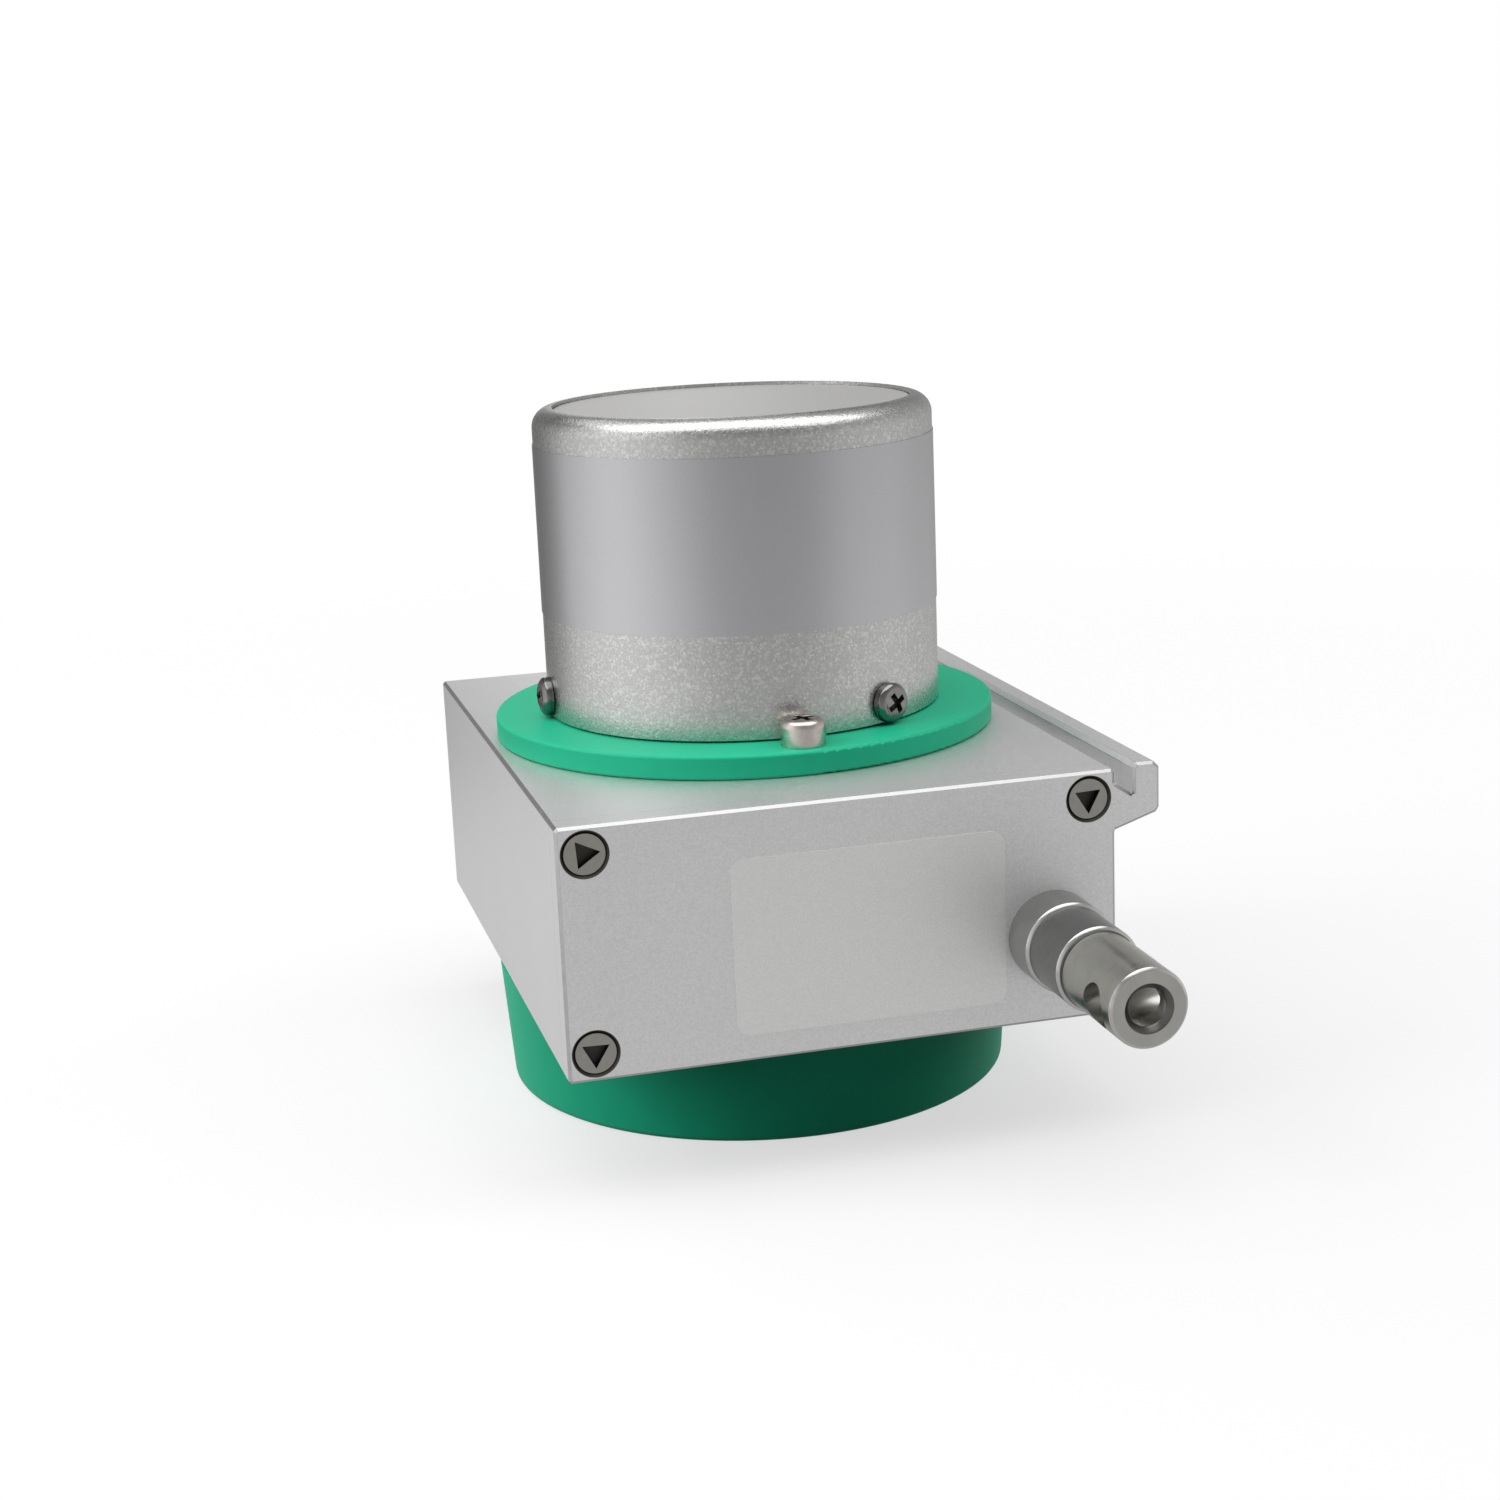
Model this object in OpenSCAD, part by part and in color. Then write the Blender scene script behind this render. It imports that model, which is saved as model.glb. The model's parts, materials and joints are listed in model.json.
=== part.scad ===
// Draw wire encoder: an extruded housing with a wire drum inside, a power spring under it
// and a multi-turn potentiometer in a round can on top.
// Frame: +Z up along the drum's axis, origin at the centre of the spring cap's base.
// The measuring wire leaves the front plate towards -Y, and the mounting rails are on +X.

/* [Housing] */
// Width of the housing, without its mounting rails
body_w = 76.5; // [76.5:0.5:84]
// Length of the housing over both end plates
body_l = 100; // [92:1:120]
// Height of the housing
body_h = 34.5; // [33.5:0.5:40]
// Wall of the housing profile
wall = 3.2; // [2.8:0.1:3.4]
// Thickness of each end plate
plate_t = 4; // [3:0.5:6]
// Broken edges of the housing and its plates
edge = 0.4; // [0.2:0.1:0.6]
// Distance of the plate screws from the faces at their corner
screw_inset = 3.8; // [3.5:0.1:4]
// Width of the blank label on the front plate
front_label_w = 37.8; // [20:0.2:38]
// Height of the blank label on the front plate
front_label_h = 24.2; // [12:0.2:26]

/* [Mounting rails] */
// How far the rails stand out of the side
rail_out = 6.5; // [5.5:0.5:9]
// Width of a rail's slot
rail_slot_w = 2.6; // [2:0.2:3]
// Depth of a rail's slot at its lip
rail_slot_d = 3.8; // [3:0.2:4.6]
// Depth of a rail's slot at the housing's side
rail_slot_side = 2; // [1:0.2:2.6]
// How far a lip stands above the housing's face
rail_rise = 0.5; // [0:0.1:1]
// Height of a rail's outer face
rail_face = 6.5; // [5:0.5:8]
// Distance from the housing's face to the foot of the rail's slanted side
rail_root = 8.6; // [8:0.2:11]

/* [Spring cap] */
// Largest diameter of the spring cap, where it meets the housing
cap_d = 77; // [75:0.5:79]
// Height of the spring cap
cap_h = 17.5; // [16:0.5:24]
// Draft of the cap's side, in degrees
cap_draft = 4; // [1:0.5:5]
// Thickness of the cap's floor
cap_floor = 3; // [2.6:0.2:4]
// Radius of the round pot that holds the power spring
pot_bore_r = 28; // [25:0.5:28]

/* [Sensor flange] */
// Diameter of the sensor flange
flange_d = 73.5; // [71:0.5:76]
// Thickness of the sensor flange
flange_t = 3.4; // [3.4:0.1:5]

/* [Sensor can] */
// Diameter of the sensor can
can_d = 58; // [57:0.5:59]
// Height of the sensor can
can_h = 44.2; // [44:0.2:60]
// Wall of the sensor can
can_wall = 1.5; // [1:0.1:1.8]
// Radius of the can's rounded top edge
can_round = 2.8; // [1:0.2:4]
// Diameter of the shallow recess in the can's top
recess_d = 52; // [40:1:52]
// Height of the blank label round the can
label_h = 24.4; // [10:0.2:25]

/* [Drum and wire] */
// Length of wire that can be drawn out
stroke = 1000; // [500:50:1100]
// Distance of the outlet's axis, and of the wire on the drum, from the housing's side
outlet_inset = 9.25; // [8.8:0.05:10]
// Diameter of the measuring wire
wire_d = 0.8; // [0.5:0.1:0.9]
// Distance between neighbouring turns on the drum
turn_pitch = 1; // [0.95:0.05:1.1]
// Height of the outlet's axis above the housing's bottom face
outlet_h = 12.3; // [12.1:0.1:13.5]

/* [Wire outlet] */
// Diameter of the outlet collar
collar_d = 12.7; // [12:0.1:13.2]
// Length of the outlet collar in front of the plate
collar_l = 6.7; // [5:0.1:9]
// Diameter of the wiper nozzle
nozzle_d = 11.8; // [11:0.1:12.4]
// Length of the wiper nozzle
nozzle_l = 9.6; // [8.5:0.1:14]

/* [Wire clamp] */
// Diameter of the wire clamp
clamp_d = 10.6; // [10:0.1:12]
// Length of the wire clamp
clamp_l = 15.8; // [15.4:0.2:20]
// Diameter of the axial hole, the tapping drill of an M6 thread
axial_d = 5; // [4.8:0.05:5.1]
// Diameter of the cross hole
cross_d = 6; // [5:0.1:6.4]
// Distance of the cross hole from the clamp's end
cross_from_end = 5.5; // [5.2:0.1:5.8]
// Angle of the cross hole to the horizontal, in degrees
cross_tilt = 10; // [0:1:45]

/* [Shaft and bearings] */
// Diameter of the drum's shaft
shaft_d = 8; // [7.4:0.1:8]
// Diameter of the shaft in the coupling, and of the potentiometer's shaft
end_d = 6; // [5:0.1:6.4]
// Outer diameter of the ball bearings
bearing_d = 22; // [21:0.1:23]
// Width of the ball bearings
bearing_w = 7; // [6:0.5:7]
// Diameter of the bearing balls
ball_d = 3.9; // [3.5:0.05:3.95]

/* [Potentiometer] */
// Diameter of the multi-turn potentiometer
pot_d = 22.2; // [20:0.1:24]
// Length of the potentiometer's case
pot_l = 17; // [14:0.5:17.5]
// Diameter of the standoffs' circle
standoff_pcd = 36; // [34:0.5:37]

/* [Cable gland] */
// Width across the flats of the gland and its dome nut
gland_af = 15; // [14:0.5:16]
// Diameter of the cable that the gland takes
cable_d = 6; // [5:0.1:6.4]

/* [Hidden] */
$fn = 96;

// Clearances: pieces of one body that seat in each other, and pieces that turn in each other
seat = 0.02;
running = 0.05;
cut = 0.1;                              // how far a cutter reaches past the face that it opens

// Levels, from the cap's base up
body_z0 = cap_h;
body_z1 = body_z0 + body_h;
flange_z1 = body_z1 + flange_t;
can_gap = 0.3;                          // dark joint between flange and can
can_z0 = flange_z1 + can_gap;
can_z1 = can_z0 + can_h;
wire_z = body_z0 + outlet_h;

// Faces of the housing
front_y = -body_l / 2;
profile_l = body_l - 2 * plate_t;
side_x = body_w / 2;
pitch_r = side_x - outlet_inset;        // radius at which the wire winds on the drum

front_label_x1 = pitch_r - collar_d / 2 - 0.35;     // beside the outlet collar
front_label_z = body_z0 + 15.7;
label_t = 0.12;

// Screws: [shank radius, head radius, head height]
m3_pan = [1.5, 3, 2.8];
m25_pan = [1.25, 2.35, 1.9];
m3_cheese = [1.5, 2.75, 3];
csk_head_r = 2.75;                      // countersunk head of the plate screws
csk_seat_r = 3.25;                      // mouth of their countersinks
csk_sunk = 0.2;                         // how far the heads lie below the plate
key_r = 2.1;                            // corners of the triangular recess in those heads
key_depth = 1.1;
plate_screw_l = 12;
plate_screw_r = 1.5;
port_r = 3.3;                           // screw ports in the profile's corners

// Wire, drum and winding
wire_r = wire_d / 2;
turns = ceil(stroke / (2 * PI * pitch_r)) + 1;   // the full stroke, and one turn that stays on
groove_gap = 0.05;                      // between a turn and its groove
groove_depth = 0.2;
rim_r = pitch_r - wire_r + groove_depth;
rim_t = 2.5;
lip_t = 1.2;
lip_r = rim_r + 1.7;
band_h = turns * turn_pitch + 1;
drum_z0 = wire_z - band_h / 2 - lip_t;
drum_z1 = wire_z + band_h / 2 + lip_t;
hub_r = 9;
hub_z1 = drum_z1 + 6;
web_t = 3;
web_hole_r = 5.5;
set_screw_r = 2;

// Bearings and what they sit in
shaft_r = shaft_d / 2;
end_r = end_d / 2;
bearing_r = bearing_d / 2;
inner_ring_r = shaft_r + 2.05;          // outside of the inner ring
outer_ring_r = bearing_r - 1.4;         // inside of the outer ring
race_r = ball_d / 2 + 0.08;
ball_circle_r = (shaft_r + bearing_r) / 2 + 0.25;
balls = 7;
shoulder_r = inner_ring_r - 0.25;       // what bears on an inner ring, clear of the outer one
hub_wall_r = bearing_r + 3;
bearing_plate_t = 2.8;
bearing_lip = 0.5;
bearing_relief = 1.4;                   // how far the seat's lip reaches in over the outer ring
low_bearing_z = body_z0 - bearing_plate_t + bearing_lip;
low_hub_z1 = low_bearing_z + bearing_w;
high_bearing_z = body_z1 + 0.2 - bearing_w;
drum_hub_gap = 0.6;                     // between the turning hub and the bearing plate

// Spring pot
pot_wall = 3;
pot_step = 1.5;                         // ledge on which the bearing plate rests
cap_wall = 2.6;
cap_edge = 0.8;
cap_r = cap_d / 2;
cap_screw_r = pot_bore_r + 5.2;         // circle of the cap's screws
cap_screw_angles = [45:90:315];
cap_boss_r = 3.9;
cap_head_depth = 4;
spring_t = 0.35;
spring_step = 0.8;                      // growth of the spring's radius in each half turn
arbor_r = 6.4;
arbor_z0 = cap_floor + 1;
spring_z0 = arbor_z0 + 0.2;
spring_h = low_bearing_z - spring_z0 - 2;
spring_r0 = arbor_r + 0.1;
spring_arcs = floor((pot_bore_r - 0.4 - spring_t - spring_r0) / spring_step);
peg_r = 1;
peg_depth = 1.5;                        // how deep the peg sits in the cap's floor
pin_r = 1;                              // cross pin between arbor and shaft
circlip_t = 0.8;
circlip_groove = 0.4;
shaft_z0 = cap_floor - 0.8;
shaft_well_r = 7;

// Sensor flange and what the can screws to
can_r = can_d / 2;
can_bore_r = can_r - can_wall;
spigot_r = 25.9;
spigot_gap = 0.1;
spigot_h = 4;
spigot_wall = 2.6;
boss_r = can_bore_r - 0.1;
boss_wall = 5.4;
boss_h = 7;
can_screw_z = flange_z1 + 3.1;
can_screw_angles = [-60, 60, 180];
flange_screw_r = can_r + m3_pan[1] + 0.3;
flange_screw_angles = [-90, 90];
flange_round = 0.5;                     // rounding of the flange's rim
o_ring_r = 0.75;
o_ring_inset = 0.75;                    // depth of an O-ring's centre line below the face that it seals
o_groove = 1.6;                         // width of an O-ring's groove
flange_o_ring_z = body_z1 - 1.6;
can_o_ring_z = flange_z1 + boss_h - 1.2;

// Inside the can
standoff_r = standoff_pcd / 2;
standoff_angles = [30, 150, 270];
standoff_af = 5.5;
stud_r = 1.5;                           // the standoffs' M3 studs and threads
shaft_z1 = flange_z1 + 7.8;
coupling_z0 = flange_z1 + 1.2;
coupling_z1 = flange_z1 + 14;
coupling_r = 7.5;
coupling_screw_r = 1.5;
coupling_screw_l = coupling_r - end_r - 0.4;
coupling_screw_levels = [coupling_z0 + 3, coupling_z1 - 2.8];
bracket_z0 = flange_z1 + 17.2;
bracket_t = 2;
bracket_z1 = bracket_z0 + bracket_t;
bushing_r = 4.75;
bushing_l = 4.5;
pot_nut_af = 12.7;
pot_nut_t = 2.4;
pot_z1 = bracket_z1 + pot_l;
board_z0 = pot_z1 + 1.6;
board_t = 1.6;
board_r = 22;
block_y = pot_d / 2 + 1.2;              // the terminal block hangs beside the potentiometer
block_pitch = 4;
pot_pins = [60, 180, 300];
pot_pin_circle = 6;
pot_pin_r = 0.6;
can_top_t = 2.4;
recess_depth = 0.8;
disc_t = 0.3;
label_z0 = can_z0 + 14.6;
label_gap_angle = 40;                   // left open at the back, round the gland

// Gland, on the can's back
gland_z = label_z0 + 10.5;
gland_thread_r = 6;
gland_seat_y = can_r + 1.6;
gland_hex_l = 5;
gland_nut_gap = 0.6;
gland_nut_y0 = gland_seat_y + gland_hex_l + gland_nut_gap;
gland_nut_hex_l = 5.5;
gland_nut_round_l = 7.5;
gland_nut_taper = 1.6;
gland_nut_l = 9.6;
gland_y1 = gland_nut_y0 + gland_nut_l;
gland_bore_r = cable_d / 2 + 0.7;
gland_pocket_r = cable_d / 2 + 1.2;     // where the rubber insert sits
gland_pocket_y1 = gland_y1 - 3;
gland_mouth_r = gland_pocket_r + 0.4;
gland_corner_r = hex_r(gland_af);
lock_nut_t = 3;
lock_nut_y1 = sqrt(can_bore_r * can_bore_r - gland_corner_r * gland_corner_r) - 0.1;

// Outlet and clamp
collar_y = front_y - collar_l;
nozzle_y = collar_y - nozzle_l;
clamp_gap = 0.1;
clamp_y1 = nozzle_y - clamp_gap;
clamp_y0 = clamp_y1 - clamp_l;
rim_break = 0.4;                        // turned chamfers of the outlet and the clamp
spigot_thread_r = 5;
collar_reach = 8;                       // of the collar's spigot behind the front plate
collar_inner_y = front_y + plate_t + collar_reach;
bush_r = 3;
bush_l = 8;
nozzle_thread_r = 4;
nozzle_thread_l = 4.7;
felt_r = 3.2;
felt_l = 4;
nozzle_front_t = 4.3;
wire_hole_r = wire_r + 0.2;
axial_depth = 6;                        // the thread ends in the cross hole
thread_chamfer = 0.8;
ferrule_r = 1.6;
ferrule_l = 2.2;
ferrule_depth = 11;                     // end of the ferrule's seat, behind the cross hole
wire_start = 7.5;                       // where the straight wire is clear of the turns on the drum
cross_y = clamp_y0 + cross_from_end;

// ---------- helpers ----------

// A ring between two radii and two levels.
module tube(r_out, r_in, z0, z1) {
    translate([0, 0, z0]) difference() {
        cylinder(r = r_out, h = z1 - z0);
        translate([0, 0, -cut]) cylinder(r = r_in, h = z1 - z0 + 2 * cut);
    }
}

// A disc between two levels.
module disc(r, z0, z1) {
    translate([0, 0, z0]) cylinder(r = r, h = z1 - z0);
}

// A turned solid round the outlet's axis, from a profile drawn as [radius, -y].
module turned_on_outlet() {
    translate([pitch_r, 0, wire_z]) rotate([90, 0, 0]) rotate_extrude() children();
}

// A profile of [radius, -y] for a plain rod from y1 back to y0.
module rod_profile(r, y0, y1) {
    translate([0, -y1]) square([r, y1 - y0]);
}

// A rod profile with a chamfer at its front end, or at both ends.
module chamfered_profile(r, y0, y1, both = false) {
    back = both ? rim_break : 0;
    polygon([[0, -y1], [r - back, -y1], [r, -y1 + back], [r, -y0 - rim_break], [r - rim_break, -y0], [0, -y0]]);
}

// A cylinder along +Y from y0 to y1 at x, z.
module y_cylinder(r, y0, y1, x, z, sides = 0) {
    translate([x, y0, z]) rotate([-90, 0, 0])
        if (sides > 0) cylinder(r = r, h = y1 - y0, $fn = sides);
        else cylinder(r = r, h = y1 - y0);
}

// A hexagon's corner radius from its width across the flats.
function hex_r(af) = af / sqrt(3);

// A cross recess that opens upwards at z = 0.
module cross_recess(size) {
    for (a = [0, 90]) rotate([0, 0, a])
        translate([-size / 2, -size / 7, -size / 3]) cube([size, size * 2 / 7, size / 3 + cut]);
}

// A screw with its seat at z = 0, its head above and its shank below.
module pan_screw(screw, length, turn = 0) {
    head_r = screw[1];
    head_h = screw[2];
    top_round = head_h * 0.3;
    difference() {
        union() {
            rotate_extrude() {
                square([head_r, head_h - top_round]);
                square([head_r - top_round, head_h]);
                translate([head_r - top_round, head_h - top_round]) circle(top_round);
            }
            translate([0, 0, -length]) cylinder(r = screw[0], h = length + cut);
        }
        translate([0, 0, head_h]) rotate([0, 0, turn]) cross_recess(head_r * 1.1);
    }
}

// Repeats its children at each angle, at a radius.
module around(angles, r = 0) {
    for (a = angles) rotate([0, 0, a]) translate([r, 0, 0]) children();
}

// ---------- housing ----------

// The upper rail's outline, from the housing's top face round to its side.
function rail_points() = [
    [-edge, 0], [0, -edge], [0, -rail_slot_side],
    [rail_slot_w, -rail_slot_d], [rail_slot_w, rail_rise - 0.7], [rail_slot_w + 0.6, rail_rise],
    [rail_out - 0.85, rail_rise], [rail_out, rail_rise - 0.85],
    [rail_out, rail_rise - rail_face], [rail_out - 0.45, rail_rise - rail_face - 0.65],
    [0, -rail_root]
];

// The housing's section, seen along +Y: x to the right, z up.
function housing_points() = concat(
    [for (p = rail_points()) [side_x + p[0], body_z1 + p[1]]],
    [for (i = [len(rail_points()) - 1:-1:0])
        [side_x + rail_points()[i][0], body_z0 - rail_points()[i][1]]],
    [[-side_x + edge, body_z0], [-side_x, body_z0 + edge], [-side_x, body_z1 - edge], [-side_x + edge, body_z1]]
);

// Where the plate screws go, as [x, z].
function plate_screw_places() = [
    for (x = [-1, 1], z = [-1, 1])
        [x * (side_x - screw_inset), (body_z0 + body_z1) / 2 + z * (body_h / 2 - screw_inset)]
];

// Extrudes a section in x and z from y0 to y1.
module along_y(y0, y1) {
    translate([0, y1, 0]) rotate([90, 0, 0]) linear_extrude(height = y1 - y0) children();
}

module housing_profile() color("silver") difference() {
    along_y(-profile_l / 2, profile_l / 2) difference() {
        polygon(housing_points());
        difference() {
            translate([-side_x + wall, body_z0 + wall]) square([body_w - 2 * wall, body_h - 2 * wall]);
            for (p = plate_screw_places()) translate(p) circle(port_r);
        }
        for (p = plate_screw_places()) translate(p) circle(plate_screw_r + seat);
    }
    disc(spigot_r + spigot_gap, body_z1 - wall - cut, body_z1 + cut);
    disc(hub_wall_r + 0.2, body_z0 - cut, body_z0 + wall + cut);
    around(flange_screw_angles, flange_screw_r) disc(m3_pan[0] + seat, body_z1 - wall - cut, body_z1 + cut);
    around(cap_screw_angles, cap_screw_r) disc(m3_cheese[0] + seat, body_z0 - cut, body_z0 + wall + cut);
}

// An end plate in place at the front, with its outer edges broken.
module end_plate() {
    points = housing_points();
    n = len(points);
    difference() {
        along_y(front_y, front_y + plate_t) polygon(points);
        for (i = [0:n - 1]) {
            a = points[i];
            b = points[(i + 1) % n];
            before = a - points[(i + n - 1) % n];
            after = points[(i + 2) % n] - b;
            run = b - a;
            start = before[0] * run[1] - before[1] * run[0] < 0 ? edge : 0;
            end = run[0] * after[1] - run[1] * after[0] < 0 ? edge : 0;
            translate([a[0], front_y, a[1]]) rotate([0, -atan2(run[1], run[0]), 0])
                translate([-start, 0, 0]) rotate([45, 0, 0])
                    translate([0, -edge, -edge / sqrt(2)]) cube([norm(run) + start + end, 2 * edge, sqrt(2) * edge]);
        }
        for (p = plate_screw_places()) {
            y_cylinder(plate_screw_r + 0.1, front_y - cut, front_y + plate_t + cut, p[0], p[1]);
            translate([p[0], front_y, p[1]]) rotate([-90, 0, 0])
                cylinder(r1 = csk_seat_r, r2 = plate_screw_r + 0.1, h = csk_seat_r - plate_screw_r - 0.1);
        }
    }
}

module front_plate() color("silver") difference() {
    end_plate();
    y_cylinder(spigot_thread_r + seat, front_y - cut, front_y + plate_t + cut, pitch_r, wire_z);
}

module rear_plate() color("silver") mirror([0, 1, 0]) end_plate();

// A countersunk tamper-proof screw with its head's face at y = 0 and its shank along +Y.
module plate_screw(turn) rotate([-90, 0, 0]) difference() {
    union() {
        cylinder(r = csk_head_r, h = 0.3);
        translate([0, 0, 0.3]) cylinder(r1 = csk_head_r, r2 = plate_screw_r, h = csk_head_r - plate_screw_r);
        cylinder(r = plate_screw_r, h = plate_screw_l);
    }
    translate([0, 0, -cut]) rotate([0, 0, turn]) cylinder(r = key_r, h = key_depth + cut, $fn = 3);
}

module plate_screws(turns_of_heads) color("dimgray")
    for (i = [0:3]) {
        p = plate_screw_places()[i];
        translate([p[0], front_y + csk_sunk, p[1]]) plate_screw(turns_of_heads[i]);
    }

module front_plate_screws() plate_screws([92, -4, 60, 88]);

module rear_plate_screws() mirror([0, 1, 0]) plate_screws([20, 75, -30, 50]);

module front_label() color("gainsboro") {
    corner = 2;
    w = front_label_w;
    h = front_label_h;
    along_y(front_y - label_t, front_y) translate([front_label_x1 - w, front_label_z - h / 2]) {
        translate([corner, 0]) square([w - 2 * corner, h]);
        translate([0, corner]) square([w, h - 2 * corner]);
        for (x = [corner, w - corner], z = [corner, h - corner]) translate([x, z]) circle(corner);
    }
}

// ---------- wire outlet ----------

module outlet_collar() color("lightslategray") turned_on_outlet() difference() {
    union() {
        chamfered_profile(collar_d / 2, collar_y, front_y);
        rod_profile(spigot_thread_r, front_y - cut, collar_inner_y);
    }
    translate([0, -collar_inner_y - cut]) square([bush_r + seat, collar_inner_y - collar_y + 2 * cut]);
    translate([0, -collar_y - nozzle_thread_l]) square([nozzle_thread_r + seat, nozzle_thread_l + cut]);
}

module guide_bush() color("white") turned_on_outlet() difference() {
    rod_profile(bush_r, collar_inner_y - bush_l, collar_inner_y);
    translate([0, -collar_inner_y - cut]) square([wire_hole_r, bush_l + 2 * cut]);
    polygon([[0, -collar_inner_y - cut], [bush_r - 0.6, -collar_inner_y - cut], [wire_hole_r, -collar_inner_y + 2], [0, -collar_inner_y + 2]]);
}

module outlet_nozzle() color("lightslategray") turned_on_outlet() difference() {
    union() {
        chamfered_profile(nozzle_d / 2, nozzle_y, collar_y);
        rod_profile(nozzle_thread_r, collar_y - cut, collar_y + nozzle_thread_l);
    }
    translate([0, -collar_y - nozzle_thread_l - cut])
        square([felt_r + seat, nozzle_thread_l + nozzle_l - nozzle_front_t + cut]);
    translate([0, -nozzle_y - nozzle_front_t - cut]) square([wire_hole_r, nozzle_front_t + 2 * cut]);
}

module wiper_felt() color("tan") turned_on_outlet() difference() {
    rod_profile(felt_r, nozzle_y + nozzle_front_t, nozzle_y + nozzle_front_t + felt_l);
    translate([0, -nozzle_y - nozzle_front_t - felt_l - cut]) square([wire_r + running, felt_l + 2 * cut]);
}

// ---------- spring cap and spring ----------

// The cap's radius at its base.
cap_base_r = cap_r - cap_h * tan(cap_draft);

module spring_cap() color("mediumseagreen") difference() {
    rotate_extrude() polygon([
        [0, 0], [cap_base_r - cap_edge, 0],
        for (a = [-67.5:22.5:0]) [cap_base_r - cap_edge + cap_edge * cos(a), cap_edge + cap_edge * sin(a)],
        [cap_r, cap_h], [0, cap_h]
    ]);
    disc(pot_bore_r, cap_floor, cap_h + cut);
    disc(pot_bore_r + pot_step, cap_h - bearing_plate_t, cap_h + cut);
    disc(shaft_well_r, cap_floor / 2, cap_floor + cut);
    difference() {
        tube(cap_base_r - cap_wall, pot_bore_r + pot_wall, cap_floor, cap_h + cut);
        around(cap_screw_angles, cap_screw_r) disc(cap_boss_r, 0, cap_h + 1);
    }
    around(cap_screw_angles, cap_screw_r) {
        disc(m3_cheese[0] + 0.1, -cut, cap_h + cut);
        disc(m3_cheese[1] + 0.4, -cut, cap_head_depth);
    }
    translate(spring_peg_place()) disc(peg_r + seat, cap_floor - peg_depth, cap_floor + cut);
}

module cap_screws() color("silver") around(cap_screw_angles, cap_screw_r)
    translate([0, 0, cap_head_depth]) mirror([0, 0, 1]) difference() {
        union() {
            cylinder(r = m3_cheese[1], h = m3_cheese[2]);
            translate([0, 0, -(body_z0 + wall - cap_head_depth - 0.3)])
                cylinder(r = m3_cheese[0], h = body_z0 + wall - cap_head_depth);
        }
        translate([0, 0, m3_cheese[2] / 2]) cylinder(r = hex_r(2.5), h = m3_cheese[2], $fn = 6);
    }

// The radius inside the spring's arc number i, and the x of that arc's centre.
function spring_arc_r(i) = spring_r0 + i * spring_step;
function spring_arc_x(i) = i % 2 == 0 ? 0 : spring_step;

// Where the spring's outer end stops against its peg.
function spring_peg_place() = let (i = spring_arcs - 1, side = i % 2 == 0 ? -1 : 1)
    [spring_arc_x(i) + side * (spring_arc_r(i) + spring_t / 2), side * (peg_r + 0.1), 0];

module power_spring() color("steelblue") {
    for (i = [0:spring_arcs - 1])
        translate([spring_arc_x(i), 0, spring_z0]) rotate([0, 0, 180 * (i % 2)])
            rotate_extrude(angle = 180) translate([spring_arc_r(i), 0]) square([spring_t, spring_h]);
    translate([arbor_r - 1.2, -spring_t, spring_z0]) cube([spring_r0 + spring_t - arbor_r + 1.2, spring_t, spring_h]);
}

module spring_peg() color("silver") translate(spring_peg_place())
    disc(peg_r, cap_floor - peg_depth, spring_z0 + spring_h);

module spring_arbor() color("gray") difference() {
    union() {
        disc(arbor_r, arbor_z0, low_bearing_z - 1.3);
        disc(shoulder_r, arbor_z0, low_bearing_z);
    }
    disc(shaft_r + seat, arbor_z0 - cut, low_bearing_z + cut);
    translate([arbor_r - 1.4, -spring_t - 0.1, arbor_z0 - cut]) cube([2, spring_t + 0.2, spring_z0 + spring_h]);
    arbor_pin_solid(pin_r + seat, arbor_r + 1);
}

// The cross pin's solid, through the arbor and the shaft, clear of the spring's slot.
module arbor_pin_solid(r, half_length) {
    translate([0, 0, arbor_z0 + 5]) rotate([90, 0, 0]) cylinder(r = r, h = 2 * half_length, center = true);
}

module arbor_pin() color("silver") arbor_pin_solid(pin_r, arbor_r - 0.2);

// ---------- bearings and shaft ----------

module bearing_plate() color("silver") difference() {
    union() {
        disc(pot_bore_r + pot_step - 0.1, body_z0 - bearing_plate_t, body_z0);
        disc(hub_wall_r, body_z0 - bearing_plate_t, low_hub_z1);
    }
    disc(bearing_r + seat, low_bearing_z, low_hub_z1 + cut);
    disc(bearing_r - bearing_relief, body_z0 - bearing_plate_t - cut, low_bearing_z + cut);
}

// One ring of a bearing, with its race, standing on z = 0.
module bearing_ring(r_out, r_in) rotate_extrude() difference() {
    translate([r_in, 0]) square([r_out - r_in, bearing_w]);
    translate([ball_circle_r, bearing_w / 2]) circle(race_r);
}

module at_bearings() for (z = [low_bearing_z, high_bearing_z]) translate([0, 0, z]) children();

module bearing_outer_rings() color("lightgray") at_bearings() bearing_ring(bearing_r, outer_ring_r);

module bearing_inner_rings() color("lightgray") at_bearings() bearing_ring(inner_ring_r, shaft_r + seat);

module bearing_balls() color("white") at_bearings()
    around([0:360 / balls:359], ball_circle_r) translate([0, 0, bearing_w / 2]) sphere(ball_d / 2);

// Where the circlips' grooves start.
circlip_levels = [arbor_z0 - circlip_t - running, high_bearing_z + bearing_w + running];

module drum_shaft() color("silver") difference() {
    union() {
        disc(shaft_r, shaft_z0, circlip_levels[1] + circlip_t + 0.7);
        disc(end_r, shaft_z0, shaft_z1);
    }
    for (z = circlip_levels) tube(shaft_r + cut, shaft_r - circlip_groove, z, z + circlip_t);
    arbor_pin_solid(pin_r + seat, shaft_r + 1);
}

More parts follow.
